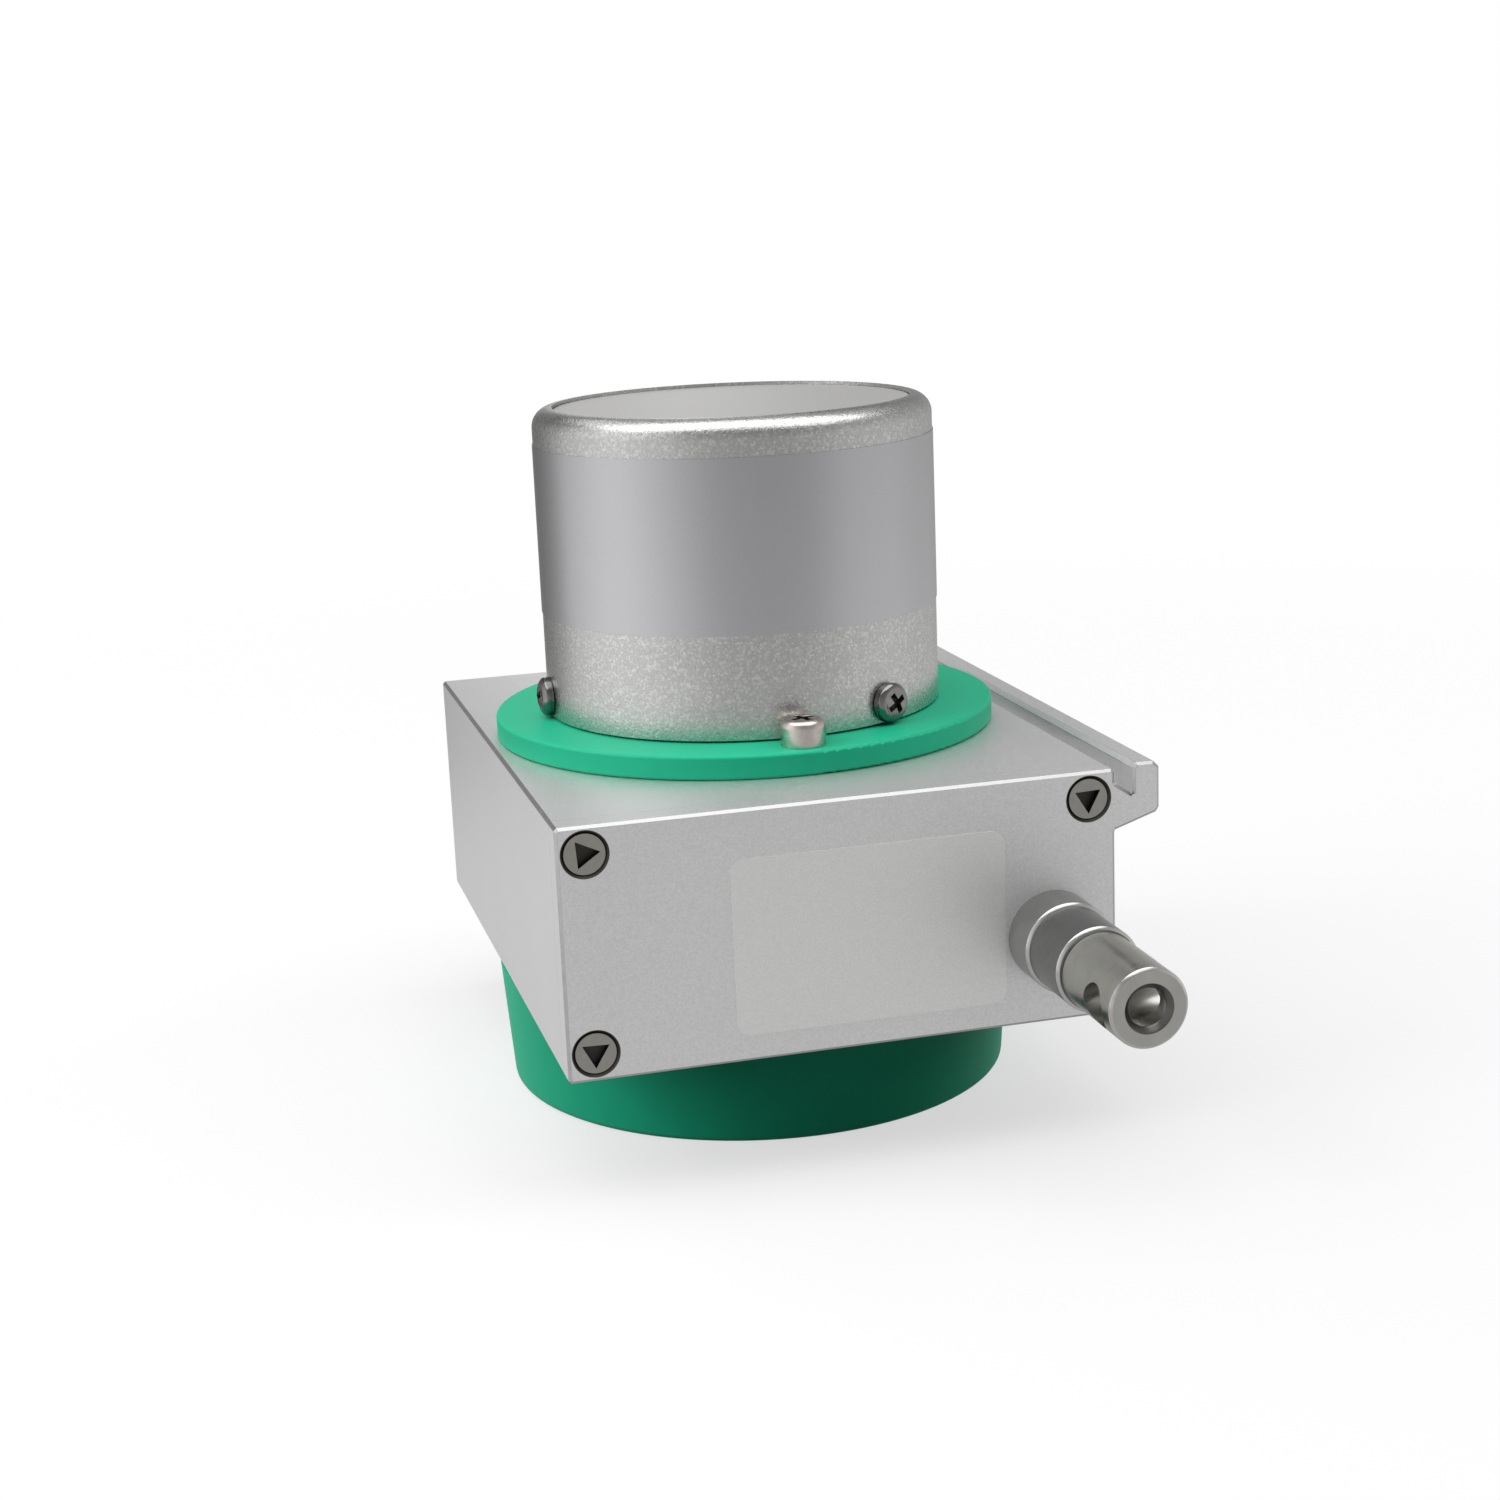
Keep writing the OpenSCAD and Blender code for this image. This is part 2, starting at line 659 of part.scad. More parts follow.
module shaft_circlips() color("dimgray") for (z = circlip_levels)
    difference() {
        tube(inner_ring_r - 0.1, shaft_r - circlip_groove + seat, z + seat, z + circlip_t - seat);
        translate([0, -1.6, z - cut]) cube([2 * inner_ring_r, 3.2, circlip_t + 2 * cut]);
    }

module spacer_sleeve() color("silver") tube(shoulder_r, shaft_r + seat, hub_z1, high_bearing_z);

// ---------- drum and wire ----------

// Levels of the turns on the drum.
function turn_levels() = [for (i = [0:turns - 1]) wire_z + (i - (turns - 1) / 2) * turn_pitch];

module wire_drum() color("gainsboro") difference() {
    rotate_extrude() difference() {
        union() {
            translate([rim_r - rim_t, drum_z0]) square([rim_t, drum_z1 - drum_z0]);
            for (z = [drum_z0, drum_z1 - lip_t]) translate([rim_r - rim_t, z]) square([lip_r - rim_r + rim_t, lip_t]);
            translate([shaft_r + seat, wire_z - web_t / 2]) square([rim_r - rim_t - shaft_r, web_t]);
            translate([shaft_r + seat, low_hub_z1 + drum_hub_gap])
                square([hub_r - shaft_r - seat, hub_z1 - low_hub_z1 - drum_hub_gap]);
            translate([shaft_r + seat, low_hub_z1]) square([shoulder_r - shaft_r - seat, drum_hub_gap + 1]);
        }
        for (z = turn_levels()) translate([pitch_r, z]) circle(wire_r + groove_gap);
    }
    around([0:60:300], (hub_r + rim_r - rim_t) / 2) disc(web_hole_r, wire_z - web_t, wire_z + web_t);
    around([0, 90]) set_screw_solid(set_screw_r + seat, shaft_r / 2, hub_r + cut);
}

// A set screw's solid in the drum's hub, between two distances from the axis.
module set_screw_solid(r, r_start, r_end) {
    translate([r_start, 0, drum_z1 + 3]) rotate([0, 90, 0]) cylinder(r = r, h = r_end - r_start);
}

module drum_set_screws() color("dimgray") around([0, 90]) difference() {
    set_screw_solid(set_screw_r, shaft_r + 2 * seat, hub_r - 0.2);
    translate([hub_r - 1.8, 0, drum_z1 + 3]) rotate([0, 90, 0]) cylinder(r = hex_r(2), h = 2, $fn = 6);
}

module wire_winding() color("silver") for (z = turn_levels())
    rotate_extrude() translate([pitch_r, z]) circle(wire_r, $fn = 24);

module measuring_wire() color("silver") turned_on_outlet()
    rod_profile(wire_r, clamp_y0 + ferrule_depth - ferrule_l, -wire_start);

module wire_ferrule() color("gold") turned_on_outlet() difference() {
    rod_profile(ferrule_r, clamp_y0 + ferrule_depth - ferrule_l, clamp_y0 + ferrule_depth - seat);
    translate([0, -clamp_y0 - ferrule_depth - cut]) square([wire_r + seat, ferrule_l + 2 * cut]);
}

module wire_clamp() color("lightslategray") difference() {
    turned_on_outlet() difference() {
        chamfered_profile(clamp_d / 2, clamp_y0, clamp_y1, both = true);
        translate([0, -clamp_y0 - axial_depth]) square([axial_d / 2, axial_depth + cut]);
        translate([0, -clamp_y0 - ferrule_depth]) square([ferrule_r + seat, ferrule_depth]);
        translate([0, -clamp_y1 - cut]) square([wire_hole_r, clamp_l]);
        polygon([[0, -clamp_y0 + cut], [axial_d / 2 + thread_chamfer + cut, -clamp_y0 + cut],
            [0, -clamp_y0 - axial_d / 2 - thread_chamfer]]);
    }
    translate([pitch_r, cross_y, wire_z]) rotate([0, 90 - cross_tilt, 0])
        cylinder(r = cross_d / 2, h = clamp_d + 2, center = true);
}

// ---------- sensor flange and can ----------

module sensor_flange() color("mediumseagreen") difference() {
    rotate_extrude() difference() {
        union() {
            translate([0, body_z1]) square([flange_d / 2 - flange_round, flange_t]);
            translate([0, body_z1 + flange_round]) square([flange_d / 2, flange_t - 2 * flange_round]);
            for (z = [body_z1 + flange_round, flange_z1 - flange_round])
                translate([flange_d / 2 - flange_round, z]) circle(flange_round);
            translate([0, body_z1 - spigot_h]) square([spigot_r, spigot_h + cut]);
            translate([0, high_bearing_z]) square([hub_wall_r, bearing_w]);
            translate([boss_r - boss_wall, flange_z1 - cut]) square([boss_wall, boss_h + cut]);
        }
        translate([hub_wall_r, high_bearing_z - cut])
            square([spigot_r - spigot_wall - hub_wall_r, body_z1 - high_bearing_z + cut]);
        translate([0, high_bearing_z - cut]) square([bearing_r + seat, bearing_w + cut]);
        translate([0, high_bearing_z]) square([bearing_r - bearing_relief, flange_z1]);
        for (groove = [[spigot_r, flange_o_ring_z], [boss_r, can_o_ring_z]])
            translate([groove[0] - o_ring_inset - o_groove / 2, groove[1] - o_groove / 2]) square([2, o_groove]);
    }
    around(flange_screw_angles, flange_screw_r) disc(m3_pan[0] + 0.1, body_z1 - cut, flange_z1 + cut);
    around(can_screw_angles) translate([boss_r - boss_wall - cut, 0, can_screw_z]) rotate([0, 90, 0])
        cylinder(r = m25_pan[0] + seat, h = boss_wall + 2 * cut);
    around(standoff_angles, standoff_r) disc(stud_r + seat, body_z1 + 0.4, flange_z1 + cut);
}

module flange_o_ring() color("black") rotate_extrude()
    translate([spigot_r - o_ring_inset, flange_o_ring_z]) circle(o_ring_r, $fn = 32);

module can_o_ring() color("black") rotate_extrude()
    translate([boss_r - o_ring_inset, can_o_ring_z]) circle(o_ring_r, $fn = 32);

module flange_screws() color("silver") around(flange_screw_angles, flange_screw_r)
    translate([0, 0, flange_z1]) pan_screw(m3_pan, flange_t + wall - 0.3, 20);

module sensor_can() color("gainsboro") difference() {
    rotate_extrude() difference() {
        union() {
            translate([0, can_z0]) square([can_r, can_h - can_round]);
            translate([0, can_z0]) square([can_r - can_round, can_h]);
            translate([can_r - can_round, can_z1 - can_round]) circle(can_round);
        }
        translate([0, can_z0 - cut]) square([can_bore_r, can_h - can_top_t + cut]);
        translate([0, can_z1 - recess_depth]) square([recess_d / 2, recess_depth + cut]);
    }
    around(can_screw_angles) translate([can_bore_r - 1, 0, can_screw_z]) rotate([0, 90, 0])
        cylinder(r = m25_pan[0] + 0.1, h = can_wall + 2);
    y_cylinder(gland_thread_r + seat, can_bore_r - 2, can_r + 2, 0, gland_z);
}

module can_screws() color("silver") around(can_screw_angles)
    translate([can_r, 0, can_screw_z]) rotate([0, 90, 0]) pan_screw(m25_pan, can_wall + boss_wall - 0.5, 30);

module can_label() color("lightsteelblue") rotate([0, 0, 90 + label_gap_angle / 2])
    rotate_extrude(angle = 360 - label_gap_angle) translate([can_r, label_z0]) square([label_t, label_h]);

module can_top_disc() color("silver") disc(recess_d / 2 - 0.2, can_z1 - recess_depth, can_z1 - recess_depth + disc_t);

// ---------- sensor inside the can ----------

module shaft_coupling() color("silver") difference() {
    disc(coupling_r, coupling_z0, coupling_z1);
    disc(end_r + seat, coupling_z0 - cut, coupling_z1 + cut);
    for (z = coupling_screw_levels) translate([end_r / 2, 0, z]) rotate([0, 90, 0])
        cylinder(r = coupling_screw_r + seat, h = coupling_r);
}

module coupling_screws() color("dimgray") for (z = coupling_screw_levels)
    translate([end_r + running, 0, z]) rotate([0, 90, 0]) difference() {
        cylinder(r = coupling_screw_r, h = coupling_screw_l);
        translate([0, 0, coupling_screw_l - 1.5]) cylinder(r = hex_r(1.5), h = 2, $fn = 6);
    }

module potentiometer_shaft() color("silver") disc(end_r, shaft_z1 + 0.6, bracket_z1 + 1);

module potentiometer() color("royalblue") difference() {
    union() {
        disc(pot_d / 2, bracket_z1, pot_z1);
        disc(bushing_r, bracket_z1 - bushing_l, bracket_z1 + cut);
        around(pot_pins, pot_pin_circle) disc(pot_pin_r, pot_z1 - cut, board_z0 + board_t + 0.6);
    }
    disc(end_r + running, bracket_z1 - bushing_l - cut, bracket_z1 + 1.2);
}

module potentiometer_nut() color("goldenrod") difference() {
    translate([0, 0, bracket_z0 - pot_nut_t]) cylinder(r = hex_r(pot_nut_af), h = pot_nut_t, $fn = 6);
    disc(bushing_r + seat, bracket_z0 - pot_nut_t - cut, bracket_z0 + cut);
}

module sensor_bracket() color("silver") difference() {
    disc(standoff_r + 3.2, bracket_z0, bracket_z1);
    disc(bushing_r + seat, bracket_z0 - cut, bracket_z1 + cut);
    around(standoff_angles, standoff_r) disc(stud_r + seat, bracket_z0 - cut, bracket_z1 + cut);
}

// Hexagonal standoffs with a stud at the foot, from z0 up to z1.
module standoffs(z0, z1, stud, bore) around(standoff_angles, standoff_r) difference() {
    union() {
        translate([0, 0, z0]) cylinder(r = hex_r(standoff_af), h = z1 - z0, $fn = 6);
        disc(stud_r, z0 - stud, z0 + cut);
    }
    disc(stud_r + seat, z1 - bore, z1 + cut);
}

upper_stud = bracket_t + 4;

module lower_standoffs() color("goldenrod") standoffs(flange_z1, bracket_z0, flange_t - 0.5, 5);

module upper_standoffs() color("goldenrod") standoffs(bracket_z1, board_z0, upper_stud, 5);

module terminal_board() color("darkgreen") difference() {
    disc(board_r, board_z0, board_z0 + board_t);
    around(pot_pins, pot_pin_circle) disc(pot_pin_r + seat, board_z0 - cut, board_z0 + board_t + cut);
    around(standoff_angles, standoff_r) disc(stud_r + 0.1, board_z0 - cut, board_z0 + board_t + cut);
}

module terminal_block() color("seagreen") difference() {
    translate([-2 * block_pitch, block_y, board_z0 - 6]) cube([4 * block_pitch, 7, 6]);
    for (i = [-1.5:1:1.5]) y_cylinder(1.1, block_y + 3, block_y + 7 + cut, i * block_pitch, board_z0 - 3);
}

module board_screws() color("silver") around(standoff_angles, standoff_r)
    translate([0, 0, board_z0 + board_t]) pan_screw([stud_r, 2.6, 1.9], board_t + 4, 10);

// ---------- cable gland ----------

module gland_body() color("silver") difference() {
    union() {
        y_cylinder(gland_corner_r, gland_seat_y, gland_seat_y + gland_hex_l, 0, gland_z, 6);
        y_cylinder(gland_thread_r, lock_nut_y1 - lock_nut_t - 0.6, gland_pocket_y1, 0, gland_z);
    }
    y_cylinder(gland_pocket_r, gland_seat_y + gland_hex_l, gland_y1, 0, gland_z);
    y_cylinder(gland_bore_r, 0, gland_y1, 0, gland_z);
}

module gland_seal() color("black") difference() {
    y_cylinder(gland_af / 2, can_bore_r, gland_seat_y, 0, gland_z);
    disc(can_r + seat, gland_z - gland_af, gland_z + gland_af);
    y_cylinder(gland_thread_r + seat, 0, gland_y1, 0, gland_z);
}

module gland_lock_nut() color("silver") difference() {
    y_cylinder(gland_corner_r - 0.2, lock_nut_y1 - lock_nut_t, lock_nut_y1, 0, gland_z, 6);
    y_cylinder(gland_thread_r + seat, 0, gland_y1, 0, gland_z);
}

module gland_dome_nut() color("silver") difference() {
    union() {
        y_cylinder(gland_corner_r, gland_nut_y0, gland_nut_y0 + gland_nut_hex_l, 0, gland_z, 6);
        y_cylinder(gland_af / 2, gland_nut_y0, gland_nut_y0 + gland_nut_round_l, 0, gland_z);
        translate([0, gland_nut_y0 + gland_nut_round_l, gland_z]) rotate([-90, 0, 0])
            cylinder(r1 = gland_af / 2, r2 = gland_af / 2 - gland_nut_taper, h = gland_nut_l - gland_nut_round_l);
    }
    y_cylinder(gland_thread_r + seat, 0, gland_pocket_y1 + running, 0, gland_z);
    y_cylinder(gland_mouth_r, 0, gland_y1 + cut, 0, gland_z);
}

module gland_insert() color("dimgray") difference() {
    y_cylinder(gland_pocket_r - seat, gland_seat_y + gland_hex_l + 0.1, gland_y1 - 0.4, 0, gland_z);
    y_cylinder(cable_d / 2 + 0.1, 0, gland_y1 + cut, 0, gland_z);
}

housing_profile();
front_plate();
rear_plate();
front_plate_screws();
rear_plate_screws();
front_label();
outlet_collar();
guide_bush();
outlet_nozzle();
wiper_felt();
spring_cap();
cap_screws();
power_spring();
spring_peg();
spring_arbor();
arbor_pin();
bearing_plate();
bearing_outer_rings();
bearing_inner_rings();
bearing_balls();
drum_shaft();
shaft_circlips();
wire_drum();
drum_set_screws();
wire_winding();
spacer_sleeve();
sensor_flange();
flange_o_ring();
flange_screws();
sensor_can();
can_o_ring();
can_screws();
can_label();
can_top_disc();
shaft_coupling();
coupling_screws();
potentiometer_shaft();
potentiometer();
potentiometer_nut();
sensor_bracket();
lower_standoffs();
upper_standoffs();
terminal_board();
terminal_block();
board_screws();
gland_body();
gland_seal();
gland_lock_nut();
gland_dome_nut();
gland_insert();
measuring_wire();
wire_ferrule();
wire_clamp();
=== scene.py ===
"""Looks of a draw wire encoder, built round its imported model.

The housing is bead-blasted aluminium, the spring cap and the sensor flange are green plastic,
and the wire outlet and the clamp are turned stainless steel. Lengths are in metres.
"""
import json
import logging
import math
from dataclasses import dataclass, field
from enum import Enum
from typing import Iterable, Sequence

import bmesh
import bpy
from mathutils import Matrix, Vector


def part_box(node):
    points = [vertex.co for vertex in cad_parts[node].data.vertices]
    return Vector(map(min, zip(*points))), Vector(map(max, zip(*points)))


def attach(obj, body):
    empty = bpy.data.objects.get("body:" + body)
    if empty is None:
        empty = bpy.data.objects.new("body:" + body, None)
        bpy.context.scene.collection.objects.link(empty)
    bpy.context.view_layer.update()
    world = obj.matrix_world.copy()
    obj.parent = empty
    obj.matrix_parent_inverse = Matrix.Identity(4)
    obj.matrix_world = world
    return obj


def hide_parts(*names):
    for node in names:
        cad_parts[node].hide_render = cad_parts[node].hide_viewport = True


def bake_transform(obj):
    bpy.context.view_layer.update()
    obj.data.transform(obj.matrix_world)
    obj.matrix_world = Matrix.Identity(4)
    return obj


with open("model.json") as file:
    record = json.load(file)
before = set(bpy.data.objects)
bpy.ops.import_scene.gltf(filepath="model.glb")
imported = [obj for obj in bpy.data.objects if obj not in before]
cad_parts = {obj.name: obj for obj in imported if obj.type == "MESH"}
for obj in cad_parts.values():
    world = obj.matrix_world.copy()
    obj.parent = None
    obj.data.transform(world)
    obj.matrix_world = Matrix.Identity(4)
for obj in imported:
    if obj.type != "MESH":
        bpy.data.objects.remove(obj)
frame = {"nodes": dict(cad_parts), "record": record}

LOG = logging.getLogger("scene")
MM = 0.001
WELD = 0.0005 * MM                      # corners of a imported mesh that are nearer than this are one
HAIR = 0.01 * MM                        # a distance that counts as none
FACING = 0.9                            # a face looks along an axis from this part of its normal on
MIDDLE = Vector((0.0, 0.0, 50 * MM))    # the object's middle, which the lamps face
ROUND_SIDES = 96                        # of the large circles in the studio
Colour = tuple[float, float, float]
WHITE: Colour = (1.0, 1.0, 1.0)


# ---------- shader expressions ----------


class Value:
    """A socket of a material's node tree that takes part in Python arithmetic."""

    def __init__(self, graph: "Graph", socket: bpy.types.NodeSocket) -> None:
        """Wraps a socket.

        Args:
            graph: the node tree that the socket belongs to.
            socket: an output socket.
        """
        self.graph = graph
        self.socket = socket

    def __add__(self, other: "Number") -> "Value":
        """Adds a value or a number."""
        return self.graph.math("ADD", self, other)

    def __sub__(self, other: "Number") -> "Value":
        """Subtracts a value or a number."""
        return self.graph.math("SUBTRACT", self, other)

    def __rsub__(self, other: "Number") -> "Value":
        """Subtracts this value from a number."""
        return self.graph.math("SUBTRACT", other, self)

    def __mul__(self, other: "Number") -> "Value":
        """Multiplies by a value or a number."""
        return self.graph.math("MULTIPLY", self, other)

    def __truediv__(self, other: "Number") -> "Value":
        """Divides by a value or a number."""
        return self.graph.math("DIVIDE", self, other)

    def __rtruediv__(self, other: "Number") -> "Value":
        """Divides a number by this value."""
        return self.graph.math("DIVIDE", other, self)

    def __lt__(self, other: "Number") -> "Value":
        """Gives 1 where this value is the smaller one, and 0 elsewhere."""
        return self.graph.math("LESS_THAN", self, other)

    __radd__ = __add__
    __rmul__ = __mul__


Number = Value | float


class Graph:
    """The node tree of one material or world, written as expressions."""

    def __init__(self, tree: bpy.types.NodeTree) -> None:
        """Empties a node tree and writes into it.

        Args:
            tree: the tree of a material or a world.
        """
        self.tree = tree
        self.tree.nodes.clear()

    def node(self, kind: str, settings: dict[str, object] | None = None,
             sockets: dict[str | int, object] | None = None) -> bpy.types.Node:
        """Adds a node, with its settings first and the values or links of its sockets after them.

        Args:
            kind: the node's type.
            settings: attributes of the node. "stops" are the (position, colour) pairs of a ramp.
            sockets: a value, a colour, a Value or a socket for each input named.

        Returns:
            The node.
        """
        made = self.tree.nodes.new(kind)
        for key, setting in (settings or {}).items():
            if key == "stops":
                self._set_stops(made.color_ramp, setting)
            else:
                setattr(made, key, setting)
        for key, given in (sockets or {}).items():
            target = made.inputs[key]
            if isinstance(given, Value):
                self.tree.links.new(given.socket, target)
            elif isinstance(given, bpy.types.NodeSocket):
                self.tree.links.new(given, target)
            elif target.type == "RGBA":
                target.default_value = (*given, 1.0)
            else:
                target.default_value = given
        return made

    @staticmethod
    def _set_stops(ramp: bpy.types.ColorRamp, stops: Sequence[tuple[float, float]]) -> None:
        """Sets a grey ramp's stops.

        Args:
            ramp: the ramp, with the two stops that it starts with.
            stops: (position, grey) pairs in order.
        """
        while len(ramp.elements) < len(stops):
            ramp.elements.new(1.0)
        for element, (position, grey) in zip(ramp.elements, stops):
            element.position = position
            element.color = (grey, grey, grey, 1.0)

    def value(self, kind: str, output: str | int = 0, settings: dict[str, object] | None = None,
              sockets: dict[str | int, object] | None = None) -> Value:
        """Adds a node and returns one of its outputs as a Value."""
        return Value(self, self.node(kind, settings, sockets).outputs[output])

    def math(self, operation: str, *terms: Number) -> Value:
        """Adds a Math node for the terms."""
        return self.value("ShaderNodeMath", 0, {"operation": operation}, dict(enumerate(terms)))

    def place(self, turn: tuple[float, float, float] = (0, 0, 0),
              scale: tuple[float, float, float] = (1, 1, 1)) -> Value:
        """Returns Object coordinates, turned and scaled.

        Args:
            turn: angles in radians.
            scale: factors along the three axes.

        Returns:
            The mapped coordinates.
        """
        coordinates = self.value("ShaderNodeTexCoord", "Object")
        return self.value("ShaderNodeMapping", 0, None,
                          {"Vector": coordinates, "Rotation": turn, "Scale": scale})

    def noise(self, size: float, detail: float = 2.0, at: Value | None = None) -> Value:
        """Returns a noise between 0 and 1.

        Args:
            size: the size of its grains, in metres.
            detail: how many finer layers it has.
            at: coordinates, or None for Object coordinates.

        Returns:
            The noise.
        """
        sockets = {"Vector": at or self.place(), "Scale": 1.0 / size, "Detail": detail}
        return self.value("ShaderNodeTexNoise", "Fac", None, sockets)

    def grains(self, size: float) -> Value:
        """Returns one random number for each grain.

        Args:
            size: the size of the grains, in metres.

        Returns:
            The number, between 0 and 1.
        """
        sockets = {"Vector": self.place(), "Scale": 1.0 / size}
        cells = self.value("ShaderNodeTexVoronoi", "Color", {"feature": "F1"}, sockets)
        return self.value("ShaderNodeSeparateColor", 0, None, {0: cells})

    def ramp(self, given: Value, *stops: tuple[float, float]) -> Value:
        """Maps a value through a grey ramp of (position, grey) stops."""
        return self.value("ShaderNodeValToRGB", 0, {"stops": stops}, {"Fac": given})

    def blend(self, share: Number, first: Colour | Value, second: Colour | Value) -> Value:
        """Mixes two colours.

        Args:
            share: the second colour's share.
            first: a colour or a Value.
            second: a colour or a Value.

        Returns:
            The mixed colour.
        """
        mix = self.node("ShaderNodeMix", {"data_type": "RGBA"}, {0: share})
        for index, given in ((6, first), (7, second)):
            if isinstance(given, Value):
                self.tree.links.new(given.socket, mix.inputs[index])
            else:
                mix.inputs[index].default_value = (*given, 1.0)
        return Value(self, mix.outputs[2])

    def bump(self, height: Value, depth: float, strength: float = 1.0,
             under: Value | None = None) -> Value:
        """Returns a normal bent by a height.

        Args:
            height: the height, from 0 to 1.
            depth: what a height of 1 stands for, in metres.
            strength: the share of the effect.
            under: a normal from a coarser bump.

        Returns:
            The normal.
        """
        coarser = {} if under is None else {"Normal": under}
        return self.value("ShaderNodeBump", 0, None,
                          {"Height": height, "Distance": depth, "Strength": strength, **coarser})


def shades(colour: Colour, factor: float) -> Colour:
    """Returns a colour made darker or lighter by a factor."""
    return tuple(min(1.0, part * factor) for part in colour)


# ---------- finishes ----------


@dataclass(frozen=True)
class Finish:
    """A surface finish. Each kind writes its own node tree."""

    name: str
    colour: Colour
    roughness: float = 0.5
    metallic: float = 0.0
    specular: float = 0.5

    def material(self) -> bpy.types.Material:
        """Makes the finish's material on first use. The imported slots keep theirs, of other names.

        Returns:
            The material.
        """
        name = self.name + "_finish"
        made = bpy.data.materials.get(name)
        if made is None:
            made = bpy.data.materials.new(name)
            made.use_nodes = True
            graph = Graph(made.node_tree)
            sockets = {"Base Color": self.colour, "Roughness": self.roughness,
                       "Metallic": self.metallic, "Specular IOR Level": self.specular}
            sockets.update(self.surface(graph))
            shader = graph.node("ShaderNodeBsdfPrincipled", None, sockets)
            graph.node("ShaderNodeOutputMaterial", None, {"Surface": shader.outputs[0]})
            made.diffuse_color = (*self.colour, 1.0)
        return made

    def surface(self, graph: Graph) -> dict[str | int, object]:
        """Returns what varies over the surface, as sockets of the Principled shader."""
        raise NotImplementedError


@dataclass(frozen=True)
class BeadBlasted(Finish):
    """Aluminium blasted with glass beads and anodised: dull, with a fine grain and a painted glint on
    its brightest grains.
    """

    grain: float = 0.22 * MM
    grain_depth: float = 0.02 * MM
    painted_glint: float = 0.3                          # how far the painted glint lightens the brightest grains
    # the colour of the painted glint
    painted_glint_colour: Colour = (0.92, 0.92, 0.91)
    cloud: float = 0.05                         # how far the clouds shift the colour
    cloud_size: float = 18 * MM
    unevenness: float = 0.14                    # spread of the roughness

    def surface(self, graph: Graph) -> dict[str | int, object]:
        """Returns a grain of small facets under soft clouds, with a painted glint on the brightest
        facets.

        Args:
            graph: the material's node tree.

        Returns:
            The shader's sockets that vary.
        """
        facet = graph.grains(self.grain)
        pits = graph.ramp(graph.noise(self.grain * 1.2, 4.0), (0.3, 0.0), (0.7, 1.0))
        clouds = graph.noise(self.cloud_size, 2.0)
        # the brightest grains: a painted highlight lightens their colour, and their roughness drops
        painted_glints = graph.ramp(facet, (0.0, 0.0), (0.6, 0.0), (1.0, 1.0))
        dull = graph.blend(clouds, shades(self.colour, 1 - self.cloud),
                           shades(self.colour, 1 + self.cloud))
        grained = graph.blend(pits, shades(self.colour, 1.08), shades(self.colour, 0.86))
        mixed = graph.blend(0.6, dull, grained)
        tint = graph.blend(painted_glints * self.painted_glint, mixed, self.painted_glint_colour)
        rough = self.roughness + (facet - 0.5) * self.unevenness - painted_glints * 0.1
        normal = graph.bump(facet * 0.3 + pits * 0.7, self.grain_depth, 0.6)
        return {"Base Color": tint, "Roughness": rough, "Normal": normal}


@dataclass(frozen=True)
class Turned(Finish):
    """Steel turned on a lathe: fine rings round the wire's axis, and a slight haze."""

    pitch: float = 0.11 * MM
    ring_depth: float = 0.003 * MM
    drawn_out: tuple[float, float, float] = (0.04, 1.0, 0.04)   # the marks are long across the axis
    haze_size: float = 2.2 * MM

    def surface(self, graph: Graph) -> dict[str | int, object]:
        """Returns tool marks along the outlet's axis and cloudy wear.

        Args:
            graph: the material's node tree.

        Returns:
            The shader's sockets that vary.
        """
        marks = graph.noise(self.pitch, 3.0, graph.place(scale=self.drawn_out))
        haze = graph.noise(self.haze_size, 3.0)
        tint = graph.blend(haze * 0.6 + marks * 0.4, shades(self.colour, 0.82),
                           shades(self.colour, 1.12))
        rough = self.roughness + (haze - 0.5) * 0.18 + (marks - 0.5) * 0.1
        return {"Base Color": tint, "Roughness": rough,
                "Normal": graph.bump(marks, self.ring_depth, 0.8)}


@dataclass(frozen=True)
class Plated(Finish):
    """A bright plated or ground surface with faint spots and scuffs."""

    scuff: float = 0.9 * MM
    scuff_depth: float = 0.004 * MM

    def surface(self, graph: Graph) -> dict[str | int, object]:
        """Returns spots in the colour and scuffs in the roughness.

        Args:
            graph: the material's node tree.

        Returns:
            The shader's sockets that vary.
        """
        spots = graph.noise(self.scuff, 4.0)
        fine = graph.noise(self.scuff * 0.2, 2.0)
        tint = graph.blend(spots, shades(self.colour, 0.86), shades(self.colour, 1.08))
        rough = self.roughness + (spots - 0.5) * 0.14 + (fine - 0.5) * 0.06
        return {"Base Color": tint, "Roughness": rough,
                "Normal": graph.bump(fine, self.scuff_depth, 0.5)}


@dataclass(frozen=True)
class Moulded(Finish):
    """Moulded plastic with a fine spark-eroded skin and faint flow clouds."""

    skin: float = 0.35 * MM
    skin_depth: float = 0.012 * MM
    cloud_size: float = 14 * MM

    def surface(self, graph: Graph) -> dict[str | int, object]:
        """Returns the skin's texture and its clouds.

        Args:
            graph: the material's node tree.

        Returns:
            The shader's sockets that vary.
        """
        skin = graph.noise(self.skin, 3.0)
        clouds = graph.noise(self.cloud_size, 2.0)
        tint = graph.blend(clouds, shades(self.colour, 0.95), shades(self.colour, 1.05))
        speckled = graph.blend(skin * 0.25, tint, shades(self.colour, 0.86))
        rough = self.roughness + (skin - 0.5) * 0.12 + (clouds - 0.5) * 0.08
        return {"Base Color": speckled, "Roughness": rough,
                "Normal": graph.bump(skin, self.skin_depth, 0.6)}


